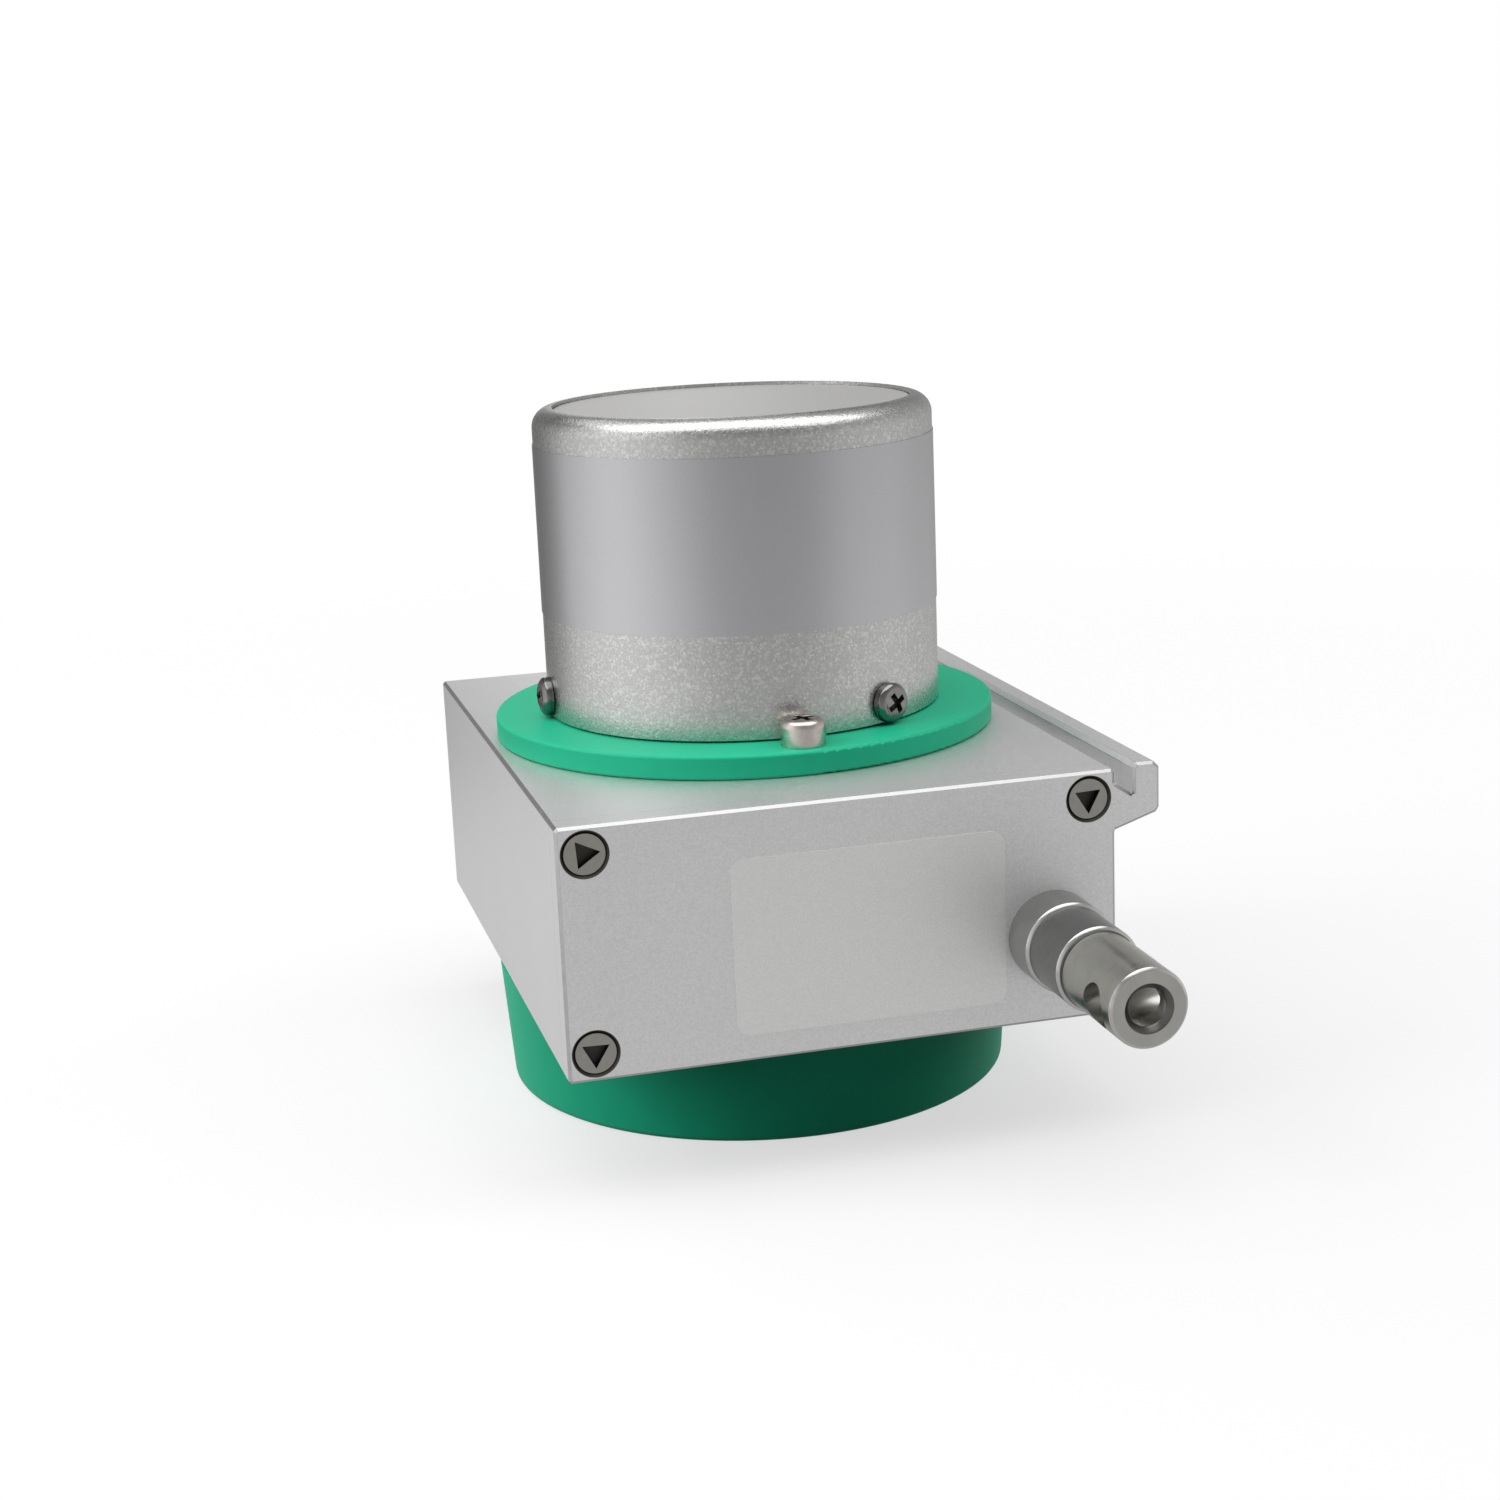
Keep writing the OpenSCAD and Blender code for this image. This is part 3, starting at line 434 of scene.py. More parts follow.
@dataclass(frozen=True)
class Film(Finish):
    """A thin label of plastic film: smooth, a little wavy over what it is stuck to."""

    wave_size: float = 7 * MM
    wave_depth: float = 0.02 * MM
    mottle_size: float = 0.5 * MM

    def surface(self, graph: Graph) -> dict[str | int, object]:
        """Returns faint waves and a hint of mottling.

        Args:
            graph: the material's node tree.

        Returns:
            The shader's sockets that vary.
        """
        waves = graph.noise(self.wave_size, 2.0)
        fine = graph.noise(self.mottle_size, 2.0)
        tint = graph.blend(fine * 0.5 + waves * 0.5, shades(self.colour, 0.97),
                           shades(self.colour, 1.03))
        return {"Base Color": tint, "Roughness": self.roughness + (fine - 0.5) * 0.05,
                "Normal": graph.bump(waves, self.wave_depth, 0.5)}


@dataclass(frozen=True)
class Stranded(Finish):
    """Fine steel wire laid in strands round its own axis."""

    lay: float = 1.6 * MM
    slant: float = math.radians(35)
    strand_depth: float = 0.05 * MM

    def surface(self, graph: Graph) -> dict[str | int, object]:
        """Returns slanting strands as bands of painted light and shade.

        Args:
            graph: the material's node tree.

        Returns:
            The shader's sockets that vary.
        """
        along = graph.place(turn=(self.slant, 0, 0))
        sockets = {"Vector": along, "Scale": 1.0 / self.lay, "Distortion": 0.4}
        bands = graph.value("ShaderNodeTexWave", "Fac", {"bands_direction": "Y"}, sockets)
        # painted shade in the grooves between the strands, and painted light on their crests
        tint = graph.blend(bands, shades(self.colour, 0.45), shades(self.colour, 1.1))
        return {"Base Color": tint, "Normal": graph.bump(bands, self.strand_depth, 0.8)}


@dataclass(frozen=True)
class Felted(Finish):
    """Pressed felt."""

    fibre: float = 0.3 * MM
    fibre_depth: float = 0.1 * MM

    def surface(self, graph: Graph) -> dict[str | int, object]:
        """Returns tangled fibres.

        Args:
            graph: the material's node tree.

        Returns:
            The shader's sockets that vary.
        """
        fibres = graph.noise(self.fibre, 5.0, graph.place(scale=(1.0, 0.4, 2.0)))
        tint = graph.blend(fibres, shades(self.colour, 0.7), shades(self.colour, 1.2))
        return {"Base Color": tint, "Normal": graph.bump(fibres, self.fibre_depth)}


HOUSING = BeadBlasted("bead_blasted_housing", (0.78, 0.78, 0.78), 0.5, 1.0,
                      grain=0.22 * MM, grain_depth=0.015 * MM, painted_glint=0.16)
CAN = BeadBlasted("bead_blasted_can", (0.52, 0.517, 0.51), 0.3, 1.0,
                  grain=0.3 * MM, grain_depth=0.042 * MM, painted_glint=0.4, cloud=0.06)
BARE_ALUMINIUM = Plated("turned_aluminium", (0.62, 0.62, 0.63), 0.38, 1.0)
BROKEN_EDGE = Plated("bright_broken_edge", (0.5, 0.5, 0.5), 0.38, 1.0)
POLISHED = Plated("polished_chamfer", (0.55, 0.545, 0.53), 0.22, 1.0)
# painted shade, for the chamfer at the mouth of a bore
PAINTED_BORE_SHADE = Plated("painted_bore_shade", (0.14, 0.137, 0.13), 0.3, 1.0)
FERRULE = Plated("bright_ferrule", (0.94, 0.93, 0.91), 0.1, 1.0)
GREEN = Moulded("green_plastic", (0.014, 0.56, 0.31), 0.5, specular=0.25)
COLLAR_STEEL = Turned("satin_collar", (0.34, 0.34, 0.336), 0.36, 1.0)
NOZZLE_STEEL = Turned("dark_nozzle", (0.22, 0.22, 0.217), 0.3, 1.0)
CLAMP_STEEL = Turned("turned_clamp", (0.47, 0.465, 0.435), 0.3, 1.0)
NICKEL = Plated("nickel_screws", (0.6, 0.55, 0.51), 0.26, 1.0)
CHROME = Plated("dark_chrome", (0.25, 0.245, 0.235), 0.12, 1.0)
# painted shade, for the screws' recesses and the countersinks round them
PAINTED_RECESS_SHADE = Plated("painted_recess_shade", (0.06, 0.056, 0.05), 0.5, 1.0)
GLAND_NICKEL = Plated("nickel_gland", (0.68, 0.66, 0.62), 0.24, 1.0)
DULL_STEEL = Plated("dull_screw_steel", (0.37, 0.355, 0.325), 0.42, 1.0)
GROUND_STEEL = Plated("ground_steel", (0.66, 0.66, 0.67), 0.16, 1.0)
SPRING_STEEL = Plated("spring_steel", (0.30, 0.32, 0.37), 0.3, 1.0)
WIRE = Stranded("stranded_wire", (0.6, 0.6, 0.59), 0.32, 1.0)
BRASS = Plated("brass", (0.72, 0.53, 0.24), 0.28, 1.0)
RUBBER = Moulded("black_rubber", (0.02, 0.02, 0.02), 0.6, skin_depth=0.02 * MM)
BUSH = Moulded("white_bush", (0.8, 0.8, 0.76), 0.4)
FELT = Felted("wiper_felt", (0.36, 0.27, 0.16), 0.95)
FRONT_FILM = BeadBlasted("front_label_film", (0.84, 0.845, 0.825), 0.5, 1.0,
                         grain=0.14 * MM, grain_depth=0.012 * MM, painted_glint=0.02, cloud=0.03)
CAN_FILM = Film("can_label_film", (0.5, 0.5, 0.512), 0.28, 1.0)
DISC_FILM = Film("can_disc_film", (0.37, 0.367, 0.36), 0.45, specular=0.3)
BLUE_PLASTIC = Moulded("blue_plastic", (0.03, 0.09, 0.3), 0.35)
LAMINATE = Moulded("board_laminate", (0.02, 0.13, 0.05), 0.4)
TERMINALS = Moulded("terminal_plastic", (0.03, 0.25, 0.1), 0.4)

# What each record slot looks like
SLOT_FINISHES: dict[str, Finish] = {
    "housing_aluminium": HOUSING, "can_aluminium": CAN, "plain_aluminium": BARE_ALUMINIUM,
    "green_plastic": GREEN, "turned_steel": CLAMP_STEEL, "nickel_screws": NICKEL,
    "nickel_gland": GLAND_NICKEL, "dark_steel": DULL_STEEL, "bright_steel": GROUND_STEEL,
    "spring_steel": SPRING_STEEL, "wire_steel": WIRE, "brass_parts": BRASS, "black_rubber": RUBBER,
    "white_bush": BUSH, "felt": FELT, "front_label_film": FRONT_FILM, "can_label_film": CAN_FILM,
    "can_disc_film": DISC_FILM, "blue_plastic": BLUE_PLASTIC, "board_laminate": LAMINATE,
    "terminal_plastic": TERMINALS,
}

# Nodes that look a little different from the rest of their slot
NODE_FINISHES: dict[str, Finish] = {
    "outlet_collar": COLLAR_STEEL, "outlet_nozzle": NOZZLE_STEEL, "can_screws": CHROME,
    "wire_ferrule": FERRULE,
}


def slot_of(node: str) -> str:
    """Returns the record's material slot of a CAD node."""
    parts = frame["record"]["subparts"]
    return next(part["material_slot"] for part in parts if part["node"] == node)


def finish_of(node: str) -> Finish:
    """Returns the finish of a CAD node."""
    return NODE_FINISHES.get(node, SLOT_FINISHES[slot_of(node)])


def body_of(node: str) -> str:
    """Returns the body that a CAD node belongs to."""
    bodies = frame["record"]["behaviour"]["bodies"]
    return next(body for body, nodes in bodies.items() if node in nodes)


# ---------- mesh helpers ----------


def dress(piece: bpy.types.Object, finish: Finish) -> None:
    """Gives a piece one finish on all its faces."""
    piece.data.materials.clear()
    piece.data.materials.append(finish.material())


def add_finishes(piece: bpy.types.Object, *finishes: Finish) -> tuple[int, ...]:
    """Gives a piece more finishes, after the one that it has.

    Args:
        piece: the piece.
        finishes: the finishes to add.

    Returns:
        The material index of each of them.
    """
    for finish in finishes:
        piece.data.materials.append(finish.material())
    return tuple(range(len(piece.data.materials) - len(finishes), len(piece.data.materials)))


def add_piece(mesh: bmesh.types.BMesh, name: str, node: str, rides: bool = True,
              smooth_angle: float = 32.0) -> bpy.types.Object:
    """Makes an object of a mesh, which stands for a CAD node and gets its finish.

    Args:
        mesh: the mesh, in place. It is freed.
        name: the piece's name.
        node: the CAD node that it replaces.
        rides: whether it rides on the node's body.
        smooth_angle: edges sharper than this angle, in degrees, stay sharp.

    Returns:
        The piece.
    """
    data = bpy.data.meshes.new(name)
    mesh.to_mesh(data)
    mesh.free()
    data.polygons.foreach_set("use_smooth", [True] * len(data.polygons))
    data.set_sharp_from_angle(angle=math.radians(smooth_angle))
    piece = bpy.data.objects.new(name, data)
    evened = piece.modifiers.new("flat_faces_stay_flat", "WEIGHTED_NORMAL")
    evened.keep_sharp = True
    bpy.context.scene.collection.objects.link(piece)
    data.materials.append(finish_of(node).material())
    slot_of(node)
    if rides:
        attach(piece, body_of(node))
    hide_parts(node)
    LOG.info("%s stands for %s, with %d faces", name, node, len(data.polygons))
    return piece


def merged_copy(node: str, flat_angle: float = 0.4) -> bmesh.types.BMesh:
    """Returns a CAD node's mesh with its triangles joined and its flat faces whole.

    Args:
        node: the CAD node.
        flat_angle: neighbours that meet within this angle, in degrees, become one face.

    Returns:
        A new mesh.
    """
    mesh = bmesh.new()
    mesh.from_mesh(frame["nodes"][node].data)
    bmesh.ops.remove_doubles(mesh, verts=mesh.verts, dist=WELD)
    bmesh.ops.dissolve_limit(mesh, angle_limit=math.radians(flat_angle), verts=mesh.verts,
                             edges=mesh.edges)
    return mesh


def soften(mesh: bmesh.types.BMesh, width: float, segments: int = 2,
           sharper_than: float = 30.0) -> None:
    """Rounds the sharp edges of a mesh.

    Args:
        mesh: the mesh.
        width: the rounding's width in metres.
        segments: faces across the rounding.
        sharper_than: the least angle of an edge that is rounded, in degrees.
    """
    limit = math.radians(sharper_than)
    edges = [e for e in mesh.edges if len(e.link_faces) == 2 and e.calc_face_angle(0.0) > limit]
    bmesh.ops.bevel(mesh, geom=edges, offset=width, offset_type="OFFSET", segments=segments,
                    profile=0.5, affect="EDGES", clamp_overlap=True, material=-1)


# ---------- the encoder ----------


class Way(Enum):
    """Where the heads of a set of screws point."""

    FRONT = (0.0, -1.0, 0.0)
    BACK = (0.0, 1.0, 0.0)
    UP = (0.0, 0.0, 1.0)
    DOWN = (0.0, 0.0, -1.0)
    OUT = (0.0, 0.0, 0.0)        # away from the Z axis

    def at(self, middle: Vector) -> Vector:
        """Returns where the head of one screw points.

        Args:
            middle: the screw's middle.

        Returns:
            The way, of length 1.
        """
        if self is Way.OUT:
            return Vector((middle.x, middle.y, 0.0)).normalized()
        return Vector(self.value)


def islands(mesh: bmesh.types.BMesh) -> list[list[bmesh.types.BMFace]]:
    """Finds the loose parts of a mesh.

    Args:
        mesh: the mesh.

    Returns:
        The faces of each loose part.
    """
    left = set(mesh.faces)
    parts = []
    while left:
        front = [left.pop()]
        part = list(front)
        while front:
            near = {other for edge in front.pop().edges for other in edge.link_faces} & left
            left -= near
            front.extend(near)
            part.extend(near)
        parts.append(part)
    return parts


def middle_of(faces: Iterable[bmesh.types.BMFace]) -> Vector:
    """Returns the middle of the box round some faces.

    Args:
        faces: the faces.

    Returns:
        The middle.
    """
    places = [vert.co for face in faces for vert in face.verts]
    low = Vector(map(min, zip(*places)))
    high = Vector(map(max, zip(*places)))
    return (low + high) / 2


@dataclass(frozen=True)
class Head:
    """How the plain head of a packed screw gets the fuller form of a pressed one."""

    height: float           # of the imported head
    swell: float = 1.0      # its radius grows by this factor
    raised: float = 0.0     # its top rises by this length
    dome: float = 0.0       # and falls by this length to its rim

    def press(self, screw: Iterable[bmesh.types.BMFace], middle: Vector, way: Vector,
              top: float) -> None:
        """Forms the head of one screw.

        Args:
            screw: the screw's faces.
            middle: a point on its axis.
            way: where its head points.
            top: how far its head reaches that way.
        """
        spans = {}
        for vert in {vert for face in screw for vert in face.verts}:
            if top - vert.co.dot(way) < self.height + HAIR:
                across = vert.co - middle
                spans[vert] = across - way * across.dot(way)
        rim = max(across.length for across in spans.values())
        for vert, across in spans.items():
            share = 1.0 - (top - vert.co.dot(way)) / self.height
            rise = self.raised - self.dome * (across.length / rim) ** 2
            vert.co += across * (self.swell - 1.0) + way * share * rise


@dataclass
class Screws:
    """A node's screws, with soft edges and painted shade in their recesses."""

    node: str
    way: Way
    recess_r: float
    recess_depth: float
    edge: float = 0.06 * MM
    rim: float = 0.08 * MM      # the recess begins this far below the top of the head
    head: Head | None = None

    def in_recess(self, face: bmesh.types.BMFace, middle: Vector, way: Vector, top: float) -> bool:
        """Tells whether a face lies in a screw's recess.

        Args:
            face: the face.
            middle: the screw's middle.
            way: where its head points.
            top: how far its head reaches that way.

        Returns:
            True in the recess.
        """
        place = face.calc_center_median()
        across = place - middle
        across -= way * across.dot(way)
        return self.rim < top - place.dot(way) < self.recess_depth and across.length < self.recess_r

    def build(self) -> None:
        """Makes the screws."""
        mesh = merged_copy(self.node)
        soften(mesh, self.edge)
        for screw in islands(mesh):
            middle = middle_of(screw)
            way = self.way.at(middle)
            top = max(vert.co.dot(way) for face in screw for vert in face.verts)
            for face in screw:
                # faces in a screw's recess get painted shade
                face.material_index = int(self.in_recess(face, middle, way, top))
            if self.head is not None:
                self.head.press(screw, middle, way, top)
        add_finishes(add_piece(mesh, self.node + "_worn", self.node), PAINTED_RECESS_SHADE)


@dataclass
class Assembly:
    """Rigid parts whose shape is right, and whose edges get their small rounding."""

    edges: dict[str, float] = field(default_factory=dict)
    screws: tuple[Screws, ...] = ()

    def build(self) -> None:
        """Makes the softened parts and the screws."""
        for node, width in self.edges.items():
            mesh = merged_copy(node)
            soften(mesh, width)
            self.shade(node, add_piece(mesh, node + "_softened", node))
        for screws in self.screws:
            screws.build()

    def shade(self, node: str, piece: bpy.types.Object) -> None:
        """Gives some faces of a part another finish. Most parts have none."""


@dataclass
class Housing(Assembly):
    """The extruded housing with its end plates, their screws and the front label."""

    edges: dict[str, float] = field(default_factory=lambda: {
        "housing_profile": 0.1 * MM, "front_plate": 0.1 * MM, "rear_plate": 0.1 * MM,
        "front_label": 0.04 * MM})
    screws: tuple[Screws, ...] = (
        Screws("front_plate_screws", Way.FRONT, 2.15 * MM, 1.15 * MM),
        Screws("rear_plate_screws", Way.BACK, 2.15 * MM, 1.15 * MM))
    seat_r: float = 3.1 * MM            # of the countersinks
    edge_width: float = 0.7 * MM        # of the widest face that is a broken edge
    square: float = 0.98                # a face is square to an axis from this part of its normal on

    def shade(self, node: str, piece: bpy.types.Object) -> None:
        """Brightens the broken edges, and paints shade into the countersinks round the screws.

        Args:
            node: the part's node.
            piece: the part.
        """
        if node == "front_label":
            return
        edge, painted_seat_shade = add_finishes(piece, BROKEN_EDGE, PAINTED_RECESS_SHADE)
        centres = self.screw_centres(node)
        for face in piece.data.polygons:
            near = min((math.hypot(face.center.x - centre.x, face.center.z - centre.z)
                        for centre in centres), default=math.inf)
            slanting = max(map(abs, face.normal)) < self.square
            # a countersink round a screw gets painted shade
            if near < self.seat_r and abs(face.normal.y) < FACING:
                face.material_index = painted_seat_shade
            elif slanting and self.width_of(piece.data, face) < self.edge_width:
                face.material_index = edge

    @staticmethod
    def screw_centres(node: str) -> list[Vector]:
        """Finds the screws of an end plate.

        Args:
            node: a part of the housing.

        Returns:
            The screws' middles, or none for a part that isn't an end plate.
        """
        if not node.endswith("_plate"):
            return []
        mesh = bmesh.new()
        mesh.from_mesh(frame["nodes"][node + "_screws"].data)
        bmesh.ops.remove_doubles(mesh, verts=mesh.verts, dist=WELD)
        centres = [middle_of(screw) for screw in islands(mesh)]
        mesh.free()
        return centres

    @staticmethod
    def width_of(data: bpy.types.Mesh, face: bpy.types.MeshPolygon) -> float:
        """Returns a long face's width: its area over its longest edge."""
        places = [data.vertices[index].co for index in face.vertices]
        return face.area / max((a - b).length for a, b in zip(places, places[1:] + places[:1]))


@dataclass
class Turnings(Assembly):
    """Parts turned round the wire's axis, with polished outer chamfers and painted shade at the mouths
    of their bores.
    """

    outer_share: float = 0.8        # of the part's radius, where its outer chamfers begin
    mouth_share: float = 0.65       # of the part's radius, where the chamfer of its bore ends
    mouth_depth: float = 1.5 * MM
    slant: tuple[float, float] = (0.25, 0.97)   # the part of a chamfer's normal along the axis

    def shade(self, node: str, piece: bpy.types.Object) -> None:
        """Polishes the outer chamfers, and paints shade onto the bore's.

        Args:
            node: the part's node.
            piece: the part.
        """
        low, high = (Vector(corner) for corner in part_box(node))
        axis = (low + high) / 2
        radius = (high.z - low.z) / 2
        least, most = self.slant
        outer, painted_mouth_shade = add_finishes(piece, POLISHED, PAINTED_BORE_SHADE)
        for face in piece.data.polygons:
            if not least < abs(face.normal.y) < most:
                continue
            out = math.hypot(face.center.x - axis.x, face.center.z - axis.z)
            if out > self.outer_share * radius:
                face.material_index = outer
            # the chamfer at the bore's mouth gets painted shade
            elif out < self.mouth_share * radius and face.center.y < low.y + self.mouth_depth:
                face.material_index = painted_mouth_shade


@dataclass
class Outlet(Turnings):
    """The wire's outlet: a collar in the front plate, and the wiper nozzle screwed into it."""

    edges: dict[str, float] = field(default_factory=lambda: {
        "outlet_collar": 0.1 * MM, "outlet_nozzle": 0.1 * MM})


@dataclass
class SpringPot(Assembly):
    """The green cap that holds the power spring, and the screws in its underside."""

    edges: dict[str, float] = field(default_factory=lambda: {"spring_cap": 0.3 * MM})
    screws: tuple[Screws, ...] = (Screws("cap_screws", Way.DOWN, 1.5 * MM, 2.0 * MM),)


@dataclass
class SensorHead(Assembly):
    """The green flange, the can on it, its label and disc, and the screws of both."""

    edges: dict[str, float] = field(default_factory=lambda: {
        "sensor_flange": 0.15 * MM, "sensor_can": 0.25 * MM, "can_label": 0.04 * MM,
        "can_top_disc": 0.06 * MM})
    screws: tuple[Screws, ...] = (
        Screws("flange_screws", Way.UP, 1.9 * MM, 1.8 * MM,
               head=Head(2.8 * MM, 1.05, 1.0 * MM, 0.2 * MM)),
        Screws("can_screws", Way.OUT, 1.5 * MM, 1.4 * MM, 0.05 * MM,
               head=Head(1.9 * MM, 1.2, 0.1 * MM, 0.8 * MM)))


@dataclass
class CableGland(Assembly):
    """The gland on the can's back."""

    edges: dict[str, float] = field(default_factory=lambda: {
        "gland_body": 0.25 * MM, "gland_dome_nut": 0.25 * MM, "gland_insert": 0.2 * MM,
        "gland_seal": 0.15 * MM})


@dataclass
class WireEnd(Turnings):
    """The clamp on the wire's end, and the wire that the drum pays out to it."""

    edges: dict[str, float] = field(default_factory=lambda: {"wire_clamp": 0.1 * MM})
    wire_r: float = 0.4 * MM
    sides: int = 16
    rings: int = 60
    root_y: float = -50 * MM       # at the housing's front
    clamp_y: float = -66.5 * MM    # at the clamp's back

    def build(self) -> None:
        """Makes the clamp and the wire."""
        super().build()
        self.add_wire()

    def add_wire(self) -> None:
        """Makes the wire, which is drawn out between housing and clamp."""
        low, high = (Vector(corner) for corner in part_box("measuring_wire"))
        mesh = bmesh.new()
        bmesh.ops.create_circle(mesh, cap_ends=True, segments=self.sides, radius=self.wire_r)
        start = Vector(((low.x + high.x) / 2, high.y, (low.z + high.z) / 2))
        place = Matrix.Translation(start) @ Matrix.Rotation(math.radians(90), 4, "X")
        bmesh.ops.transform(mesh, matrix=place, verts=mesh.verts)
        front = list(mesh.faces)
        for _ in range(self.rings):
            made = bmesh.ops.extrude_face_region(mesh, geom=front)["geom"]
            front = [item for item in made if isinstance(item, bmesh.types.BMFace)]
            ring = [item for item in made if isinstance(item, bmesh.types.BMVert)]
            bmesh.ops.translate(mesh, vec=(0.0, (low.y - high.y) / self.rings, 0.0), verts=ring)
        inside = [face for face in mesh.faces if abs(face.normal.y) > FACING
                  and low.y + HAIR < face.calc_center_median().y < high.y - HAIR]
        bmesh.ops.delete(mesh, geom=inside, context="FACES_ONLY")
        bmesh.ops.recalc_face_normals(mesh, faces=mesh.faces)
        mesh.verts.sort(key=lambda vert: self.rank(vert.co - start))
        mesh.faces.sort(key=lambda face: self.rank(face.calc_center_median() - start))
        wire = add_piece(mesh, "drawn_wire", "measuring_wire", rides=False)
        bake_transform(wire)

    @staticmethod
    def rank(place: Vector) -> float:
        """Orders places along the wire and then round it, so that its mesh is the same in each run."""
        return math.atan2(place.z, place.x) - math.tau * 2 * place.y / MM


class Mechanism:
    """Drum, shaft, bearings, spring, coupling and potentiometer, which keep their own meshes."""

    def build(self) -> None:
        """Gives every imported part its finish."""
        for node, piece in frame["nodes"].items():
            dress(piece, finish_of(node))


# ---------- studio ----------


class Ray(Enum):
    """Kinds of ray that see the bright backdrop."""

    CAMERA = "Is Camera Ray"
    GLOSSY = "Is Glossy Ray"
    TRANSMISSION = "Is Transmission Ray"


def rays_that_see(graph: Graph, *kinds: Ray) -> Value:
    """Tells rays of some kinds, which haven't met a dull surface on their way, from all others.

    Args:
        graph: the node tree.
        kinds: the kinds of ray.

    Returns:
        1 for such rays, and 0 for others.
    """
    path = graph.node("ShaderNodeLightPath")
    first, *others = (Value(graph, path.outputs[kind.value]) for kind in kinds)
    dull_surfaces_met = Value(graph, path.outputs["Diffuse Depth"])
    return graph.math("MINIMUM", sum(others, first), 1.0) * (dull_surfaces_met < 0.5)


@dataclass(frozen=True)
class Spot:
    """Where a lamp hangs round the object, with its face to the object's middle."""

    azimuth: float      # degrees round Z, from +X towards +Y
    elevation: float    # degrees above the floor
    distance: float     # metres from the object's middle

    def frame(self) -> Matrix:
        """Works out the place and the turn of a lamp that hangs here.

        Returns:
            The lamp's matrix, with its -Z axis to the object.
        """
        round_z, up = math.radians(self.azimuth), math.radians(self.elevation)
        flat = math.cos(up)
        way = Vector((math.cos(round_z) * flat, math.sin(round_z) * flat, math.sin(up)))
        turn = way.to_track_quat("Z", "Y").to_matrix().to_4x4()
        return Matrix.Translation(MIDDLE + way * self.distance) @ turn


@dataclass(frozen=True)
class Lamp:
    """A rectangular soft lamp."""

    name: str
    spot: Spot
    width: float
    depth: float
    power: float

    def build(self) -> None:
        """Hangs the lamp."""
        data = bpy.data.lights.new(self.name, "AREA")
        data.shape = "RECTANGLE"
        data.size = self.width
        data.size_y = self.depth
        data.energy = self.power
        lamp = bpy.data.objects.new(self.name, data)
        bpy.context.scene.collection.objects.link(lamp)
        lamp.matrix_world = self.spot.frame()


@dataclass(frozen=True)
class Tent:
    """A graduated sheet all round the object, which only shows as a reflection in metal."""

    radius: float = 0.2
    height: float = 0.26
    foot: float = 1.15      # how bright it is at the floor
    fall: float = 3.0       # how much darker it gets for each metre up
    least: float = 0.5      # and how bright it stays
    peak: float = 1.9       # the largest of the greys
    greys: tuple[tuple[float, float], ...] = (      # azimuth in degrees, brightness
        (-180, 1.06), (-164, 1.07), (-150, 0.94), (-138, 0.83), (-126, 0.68), (-114, 0.57),
        (-104, 0.53), (-85, 0.51), (-67, 0.54), (-55, 0.62), (-42, 0.74), (-12, 0.78), (7, 0.69),
        (31, 0.6), (55, 0.4), (70, 0.4), (75, 1.3), (79, 1.9), (83, 1.2), (91, 0.6), (99, 0.25),
        (108, 0.18), (125, 0.28), (140, 0.45), (150, 0.8), (167, 0.94), (180, 1.06))

    def build(self) -> None:
        """Puts up the tent."""
        mesh = bmesh.new()
        bmesh.ops.create_cone(mesh, cap_ends=False, segments=ROUND_SIDES, radius1=self.radius,
                              radius2=self.radius, depth=self.height)
        bmesh.ops.translate(mesh, vec=(0.0, 0.0, self.height / 2), verts=mesh.verts)
        tent = add_stage(mesh, "tent")
        tent.visible_camera = tent.visible_diffuse = tent.visible_shadow = False
        material = bpy.data.materials.new("tent_sheet")
        material.use_nodes = True
        graph = Graph(material.node_tree)
        place = graph.node("ShaderNodeSeparateXYZ", None, {0: graph.place()})
        x, y, z = (Value(graph, output) for output in place.outputs)
        turn = graph.math("ARCTAN2", y, x) / math.tau + 0.5
        stops = [((azimuth + 180) / 360, grey / self.peak) for azimuth, grey in self.greys]
        fall = graph.math("MAXIMUM", self.foot - z * self.fall, self.least)
        glow = graph.node("ShaderNodeEmission", None,
                          {"Color": graph.ramp(turn, *stops),
                           "Strength": fall * self.peak * rays_that_see(graph, Ray.GLOSSY)})
        graph.node("ShaderNodeOutputMaterial", None, {"Surface": glow.outputs[0]})
        tent.data.materials.append(material)


def add_stage(mesh: bmesh.types.BMesh, name: str) -> bpy.types.Object:
    """Makes a piece of the studio.

    Args:
        mesh: its mesh, in place. It is freed.
        name: its name.

    Returns:
        The piece.
    """
    data = bpy.data.meshes.new(name)
    mesh.to_mesh(data)
    mesh.free()
    thing = bpy.data.objects.new(name, data)
    bpy.context.scene.collection.objects.link(thing)
    return thing


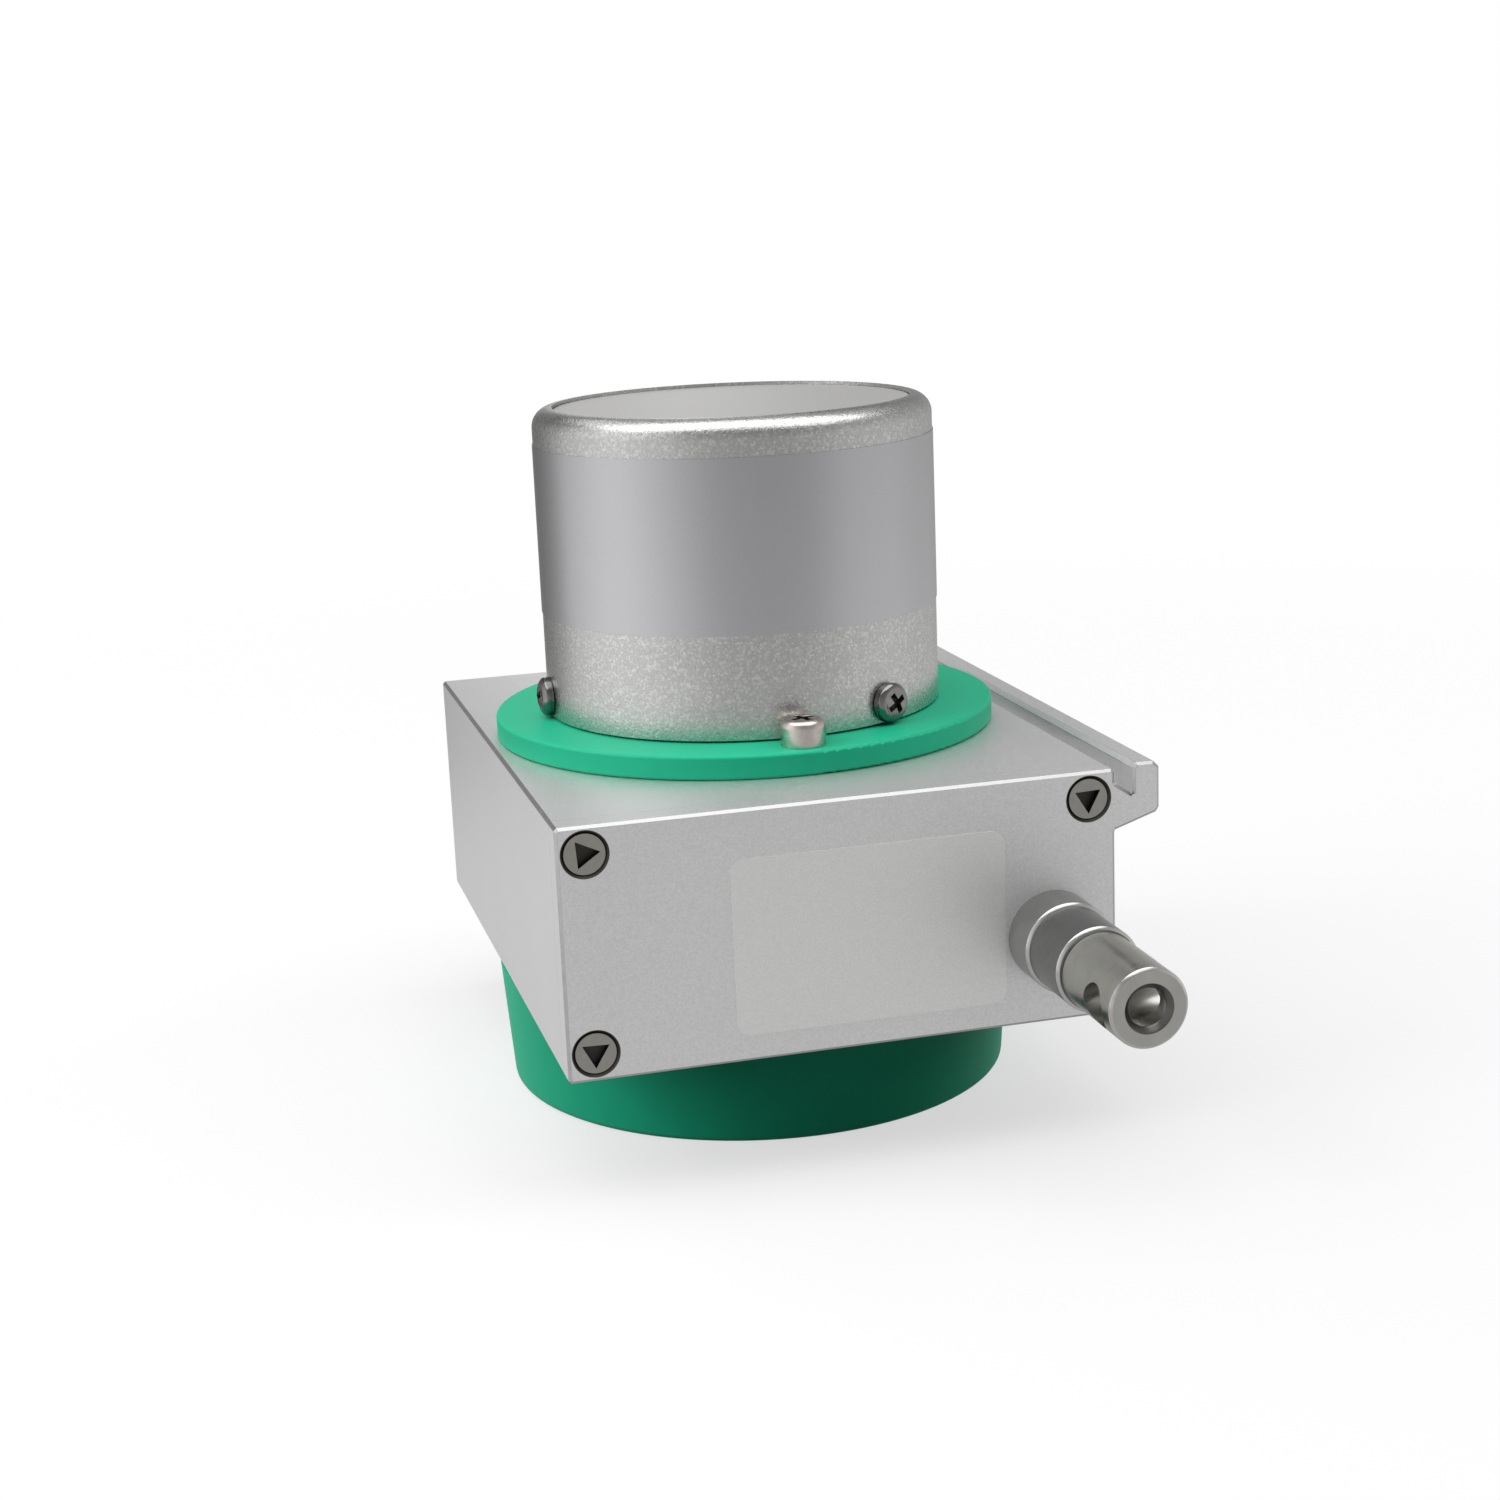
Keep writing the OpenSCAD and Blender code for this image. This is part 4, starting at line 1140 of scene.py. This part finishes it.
@dataclass
class Studio:
    """A pale floor, a white backdrop, soft lamps and the camera."""

    eye: Vector = field(default_factory=lambda: Vector((-89.40, -351.84, 134.0)) * MM)
    yaw: float = math.radians(14.3583)
    pitch: float = math.radians(13.4129)
    roll: float = math.radians(-2.4179)
    lens_mm: float = 59.784
    sensor_mm: float = 36.0
    floor_radius: float = 4.0
    floor_seen: float = 0.84                # how pale the floor is to the camera,
    floor_mirrored: float = 0.5             # in metal,
    floor_lit: float = 0.06                 # and, added to both, for the light that it throws back
    far_dimmed: float = 0.4                 # how much darker than white its far part is in metal
    fade: tuple[tuple[float, float], ...] = ((0.05, 0.62), (0.5, 1.0))  # distance, share of white
    lamps: tuple[Lamp, ...] = (
        Lamp("lamp_over", Spot(-104.0, 82.0, 1.1), 2.6, 1.0, 16.0),
        Lamp("lamp_left", Spot(182.0, 28.0, 1.3), 0.8, 0.8, 8.0),
        Lamp("lamp_right", Spot(-4.0, 28.0, 1.4), 0.8, 0.8, 3.5),
        Lamp("lamp_back_left", Spot(118.0, 32.0, 1.3), 0.7, 0.7, 2.5),
    )
    tent: Tent = Tent()
    mirrored_sky: float = 0.45
    fill: float = 0.12

    def build(self) -> None:
        """Sets up the whole studio."""
        scene = bpy.context.scene
        scene.view_settings.view_transform = "Standard"
        self.add_camera(scene)
        self.add_floor()
        self.light_world(scene)
        for thing in (*self.lamps, self.tent):
            thing.build()

    def add_camera(self, scene: bpy.types.Scene) -> None:
        """Places the camera.

        Args:
            scene: the scene that looks through it.
        """
        data = bpy.data.cameras.new("camera")
        data.sensor_width = data.sensor_height = self.sensor_mm
        data.lens = self.lens_mm
        data.clip_start = 0.01
        camera = bpy.data.objects.new("camera", data)
        forward = Vector((math.sin(self.yaw) * math.cos(self.pitch),
                          math.cos(self.yaw) * math.cos(self.pitch), -math.sin(self.pitch)))
        level = Vector((math.cos(self.yaw), -math.sin(self.yaw), 0.0))
        upright = level.cross(forward)
        right = level * math.cos(self.roll) + upright * math.sin(self.roll)
        up = upright * math.cos(self.roll) - level * math.sin(self.roll)
        turn = Matrix((right, up, -forward)).transposed().to_4x4()
        camera.matrix_world = Matrix.Translation(self.eye) @ turn
        scene.collection.objects.link(camera)
        scene.camera = camera

    def add_floor(self) -> None:
        """Lays the floor. It fades into the backdrop, and looks pale but lights the object less."""
        mesh = bmesh.new()
        bmesh.ops.create_circle(mesh, cap_ends=True, segments=ROUND_SIDES, radius=self.floor_radius)
        floor = add_stage(mesh, "floor")
        material = bpy.data.materials.new("floor_paper")
        material.use_nodes = True
        graph = Graph(material.node_tree)
        camera = rays_that_see(graph, Ray.CAMERA, Ray.TRANSMISSION)
        mirrored = rays_that_see(graph, Ray.GLOSSY)
        shade = camera * self.floor_seen + mirrored * self.floor_mirrored + self.floor_lit
        paper = graph.node("ShaderNodeBsdfDiffuse", None, {"Color": shade})
        white = graph.node("ShaderNodeEmission", None,
                           {"Color": WHITE, "Strength": 1.0 - mirrored * self.far_dimmed})
        distance = graph.value("ShaderNodeVectorMath", "Value", {"operation": "LENGTH"},
                               {0: graph.place()})
        far = graph.ramp(distance, *self.fade)
        mixed = graph.node("ShaderNodeMixShader", None,
                           {0: far * (camera + mirrored), 1: paper.outputs[0], 2: white.outputs[0]})
        graph.node("ShaderNodeOutputMaterial", None, {"Surface": mixed.outputs[0]})
        floor.data.materials.append(material)

    def light_world(self, scene: bpy.types.Scene) -> None:
        """Makes the world white to look at, and a soft fill light.

        Args:
            scene: the scene that gets the world.
        """
        world = bpy.data.worlds.new("studio")
        world.use_nodes = True
        scene.world = world
        graph = Graph(world.node_tree)
        camera = rays_that_see(graph, Ray.CAMERA, Ray.TRANSMISSION)
        mirrored = rays_that_see(graph, Ray.GLOSSY)
        strength = (camera * (1.0 - self.fill) + mirrored * (self.mirrored_sky - self.fill)
                    + self.fill)
        sky = graph.node("ShaderNodeBackground", None, {"Color": WHITE, "Strength": strength})
        graph.node("ShaderNodeOutputWorld", None, {"Surface": sky.outputs[0]})


def main() -> None:
    """Builds the encoder's looks and the studio."""
    logging.basicConfig(level=logging.INFO, format="%(name)s: %(message)s")
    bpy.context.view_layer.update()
    for part in (Mechanism(), Housing(), Outlet(), SpringPot(), SensorHead(), CableGland(),
                 WireEnd(), Studio()):
        part.build()


if __name__ == "__main__":
    main()
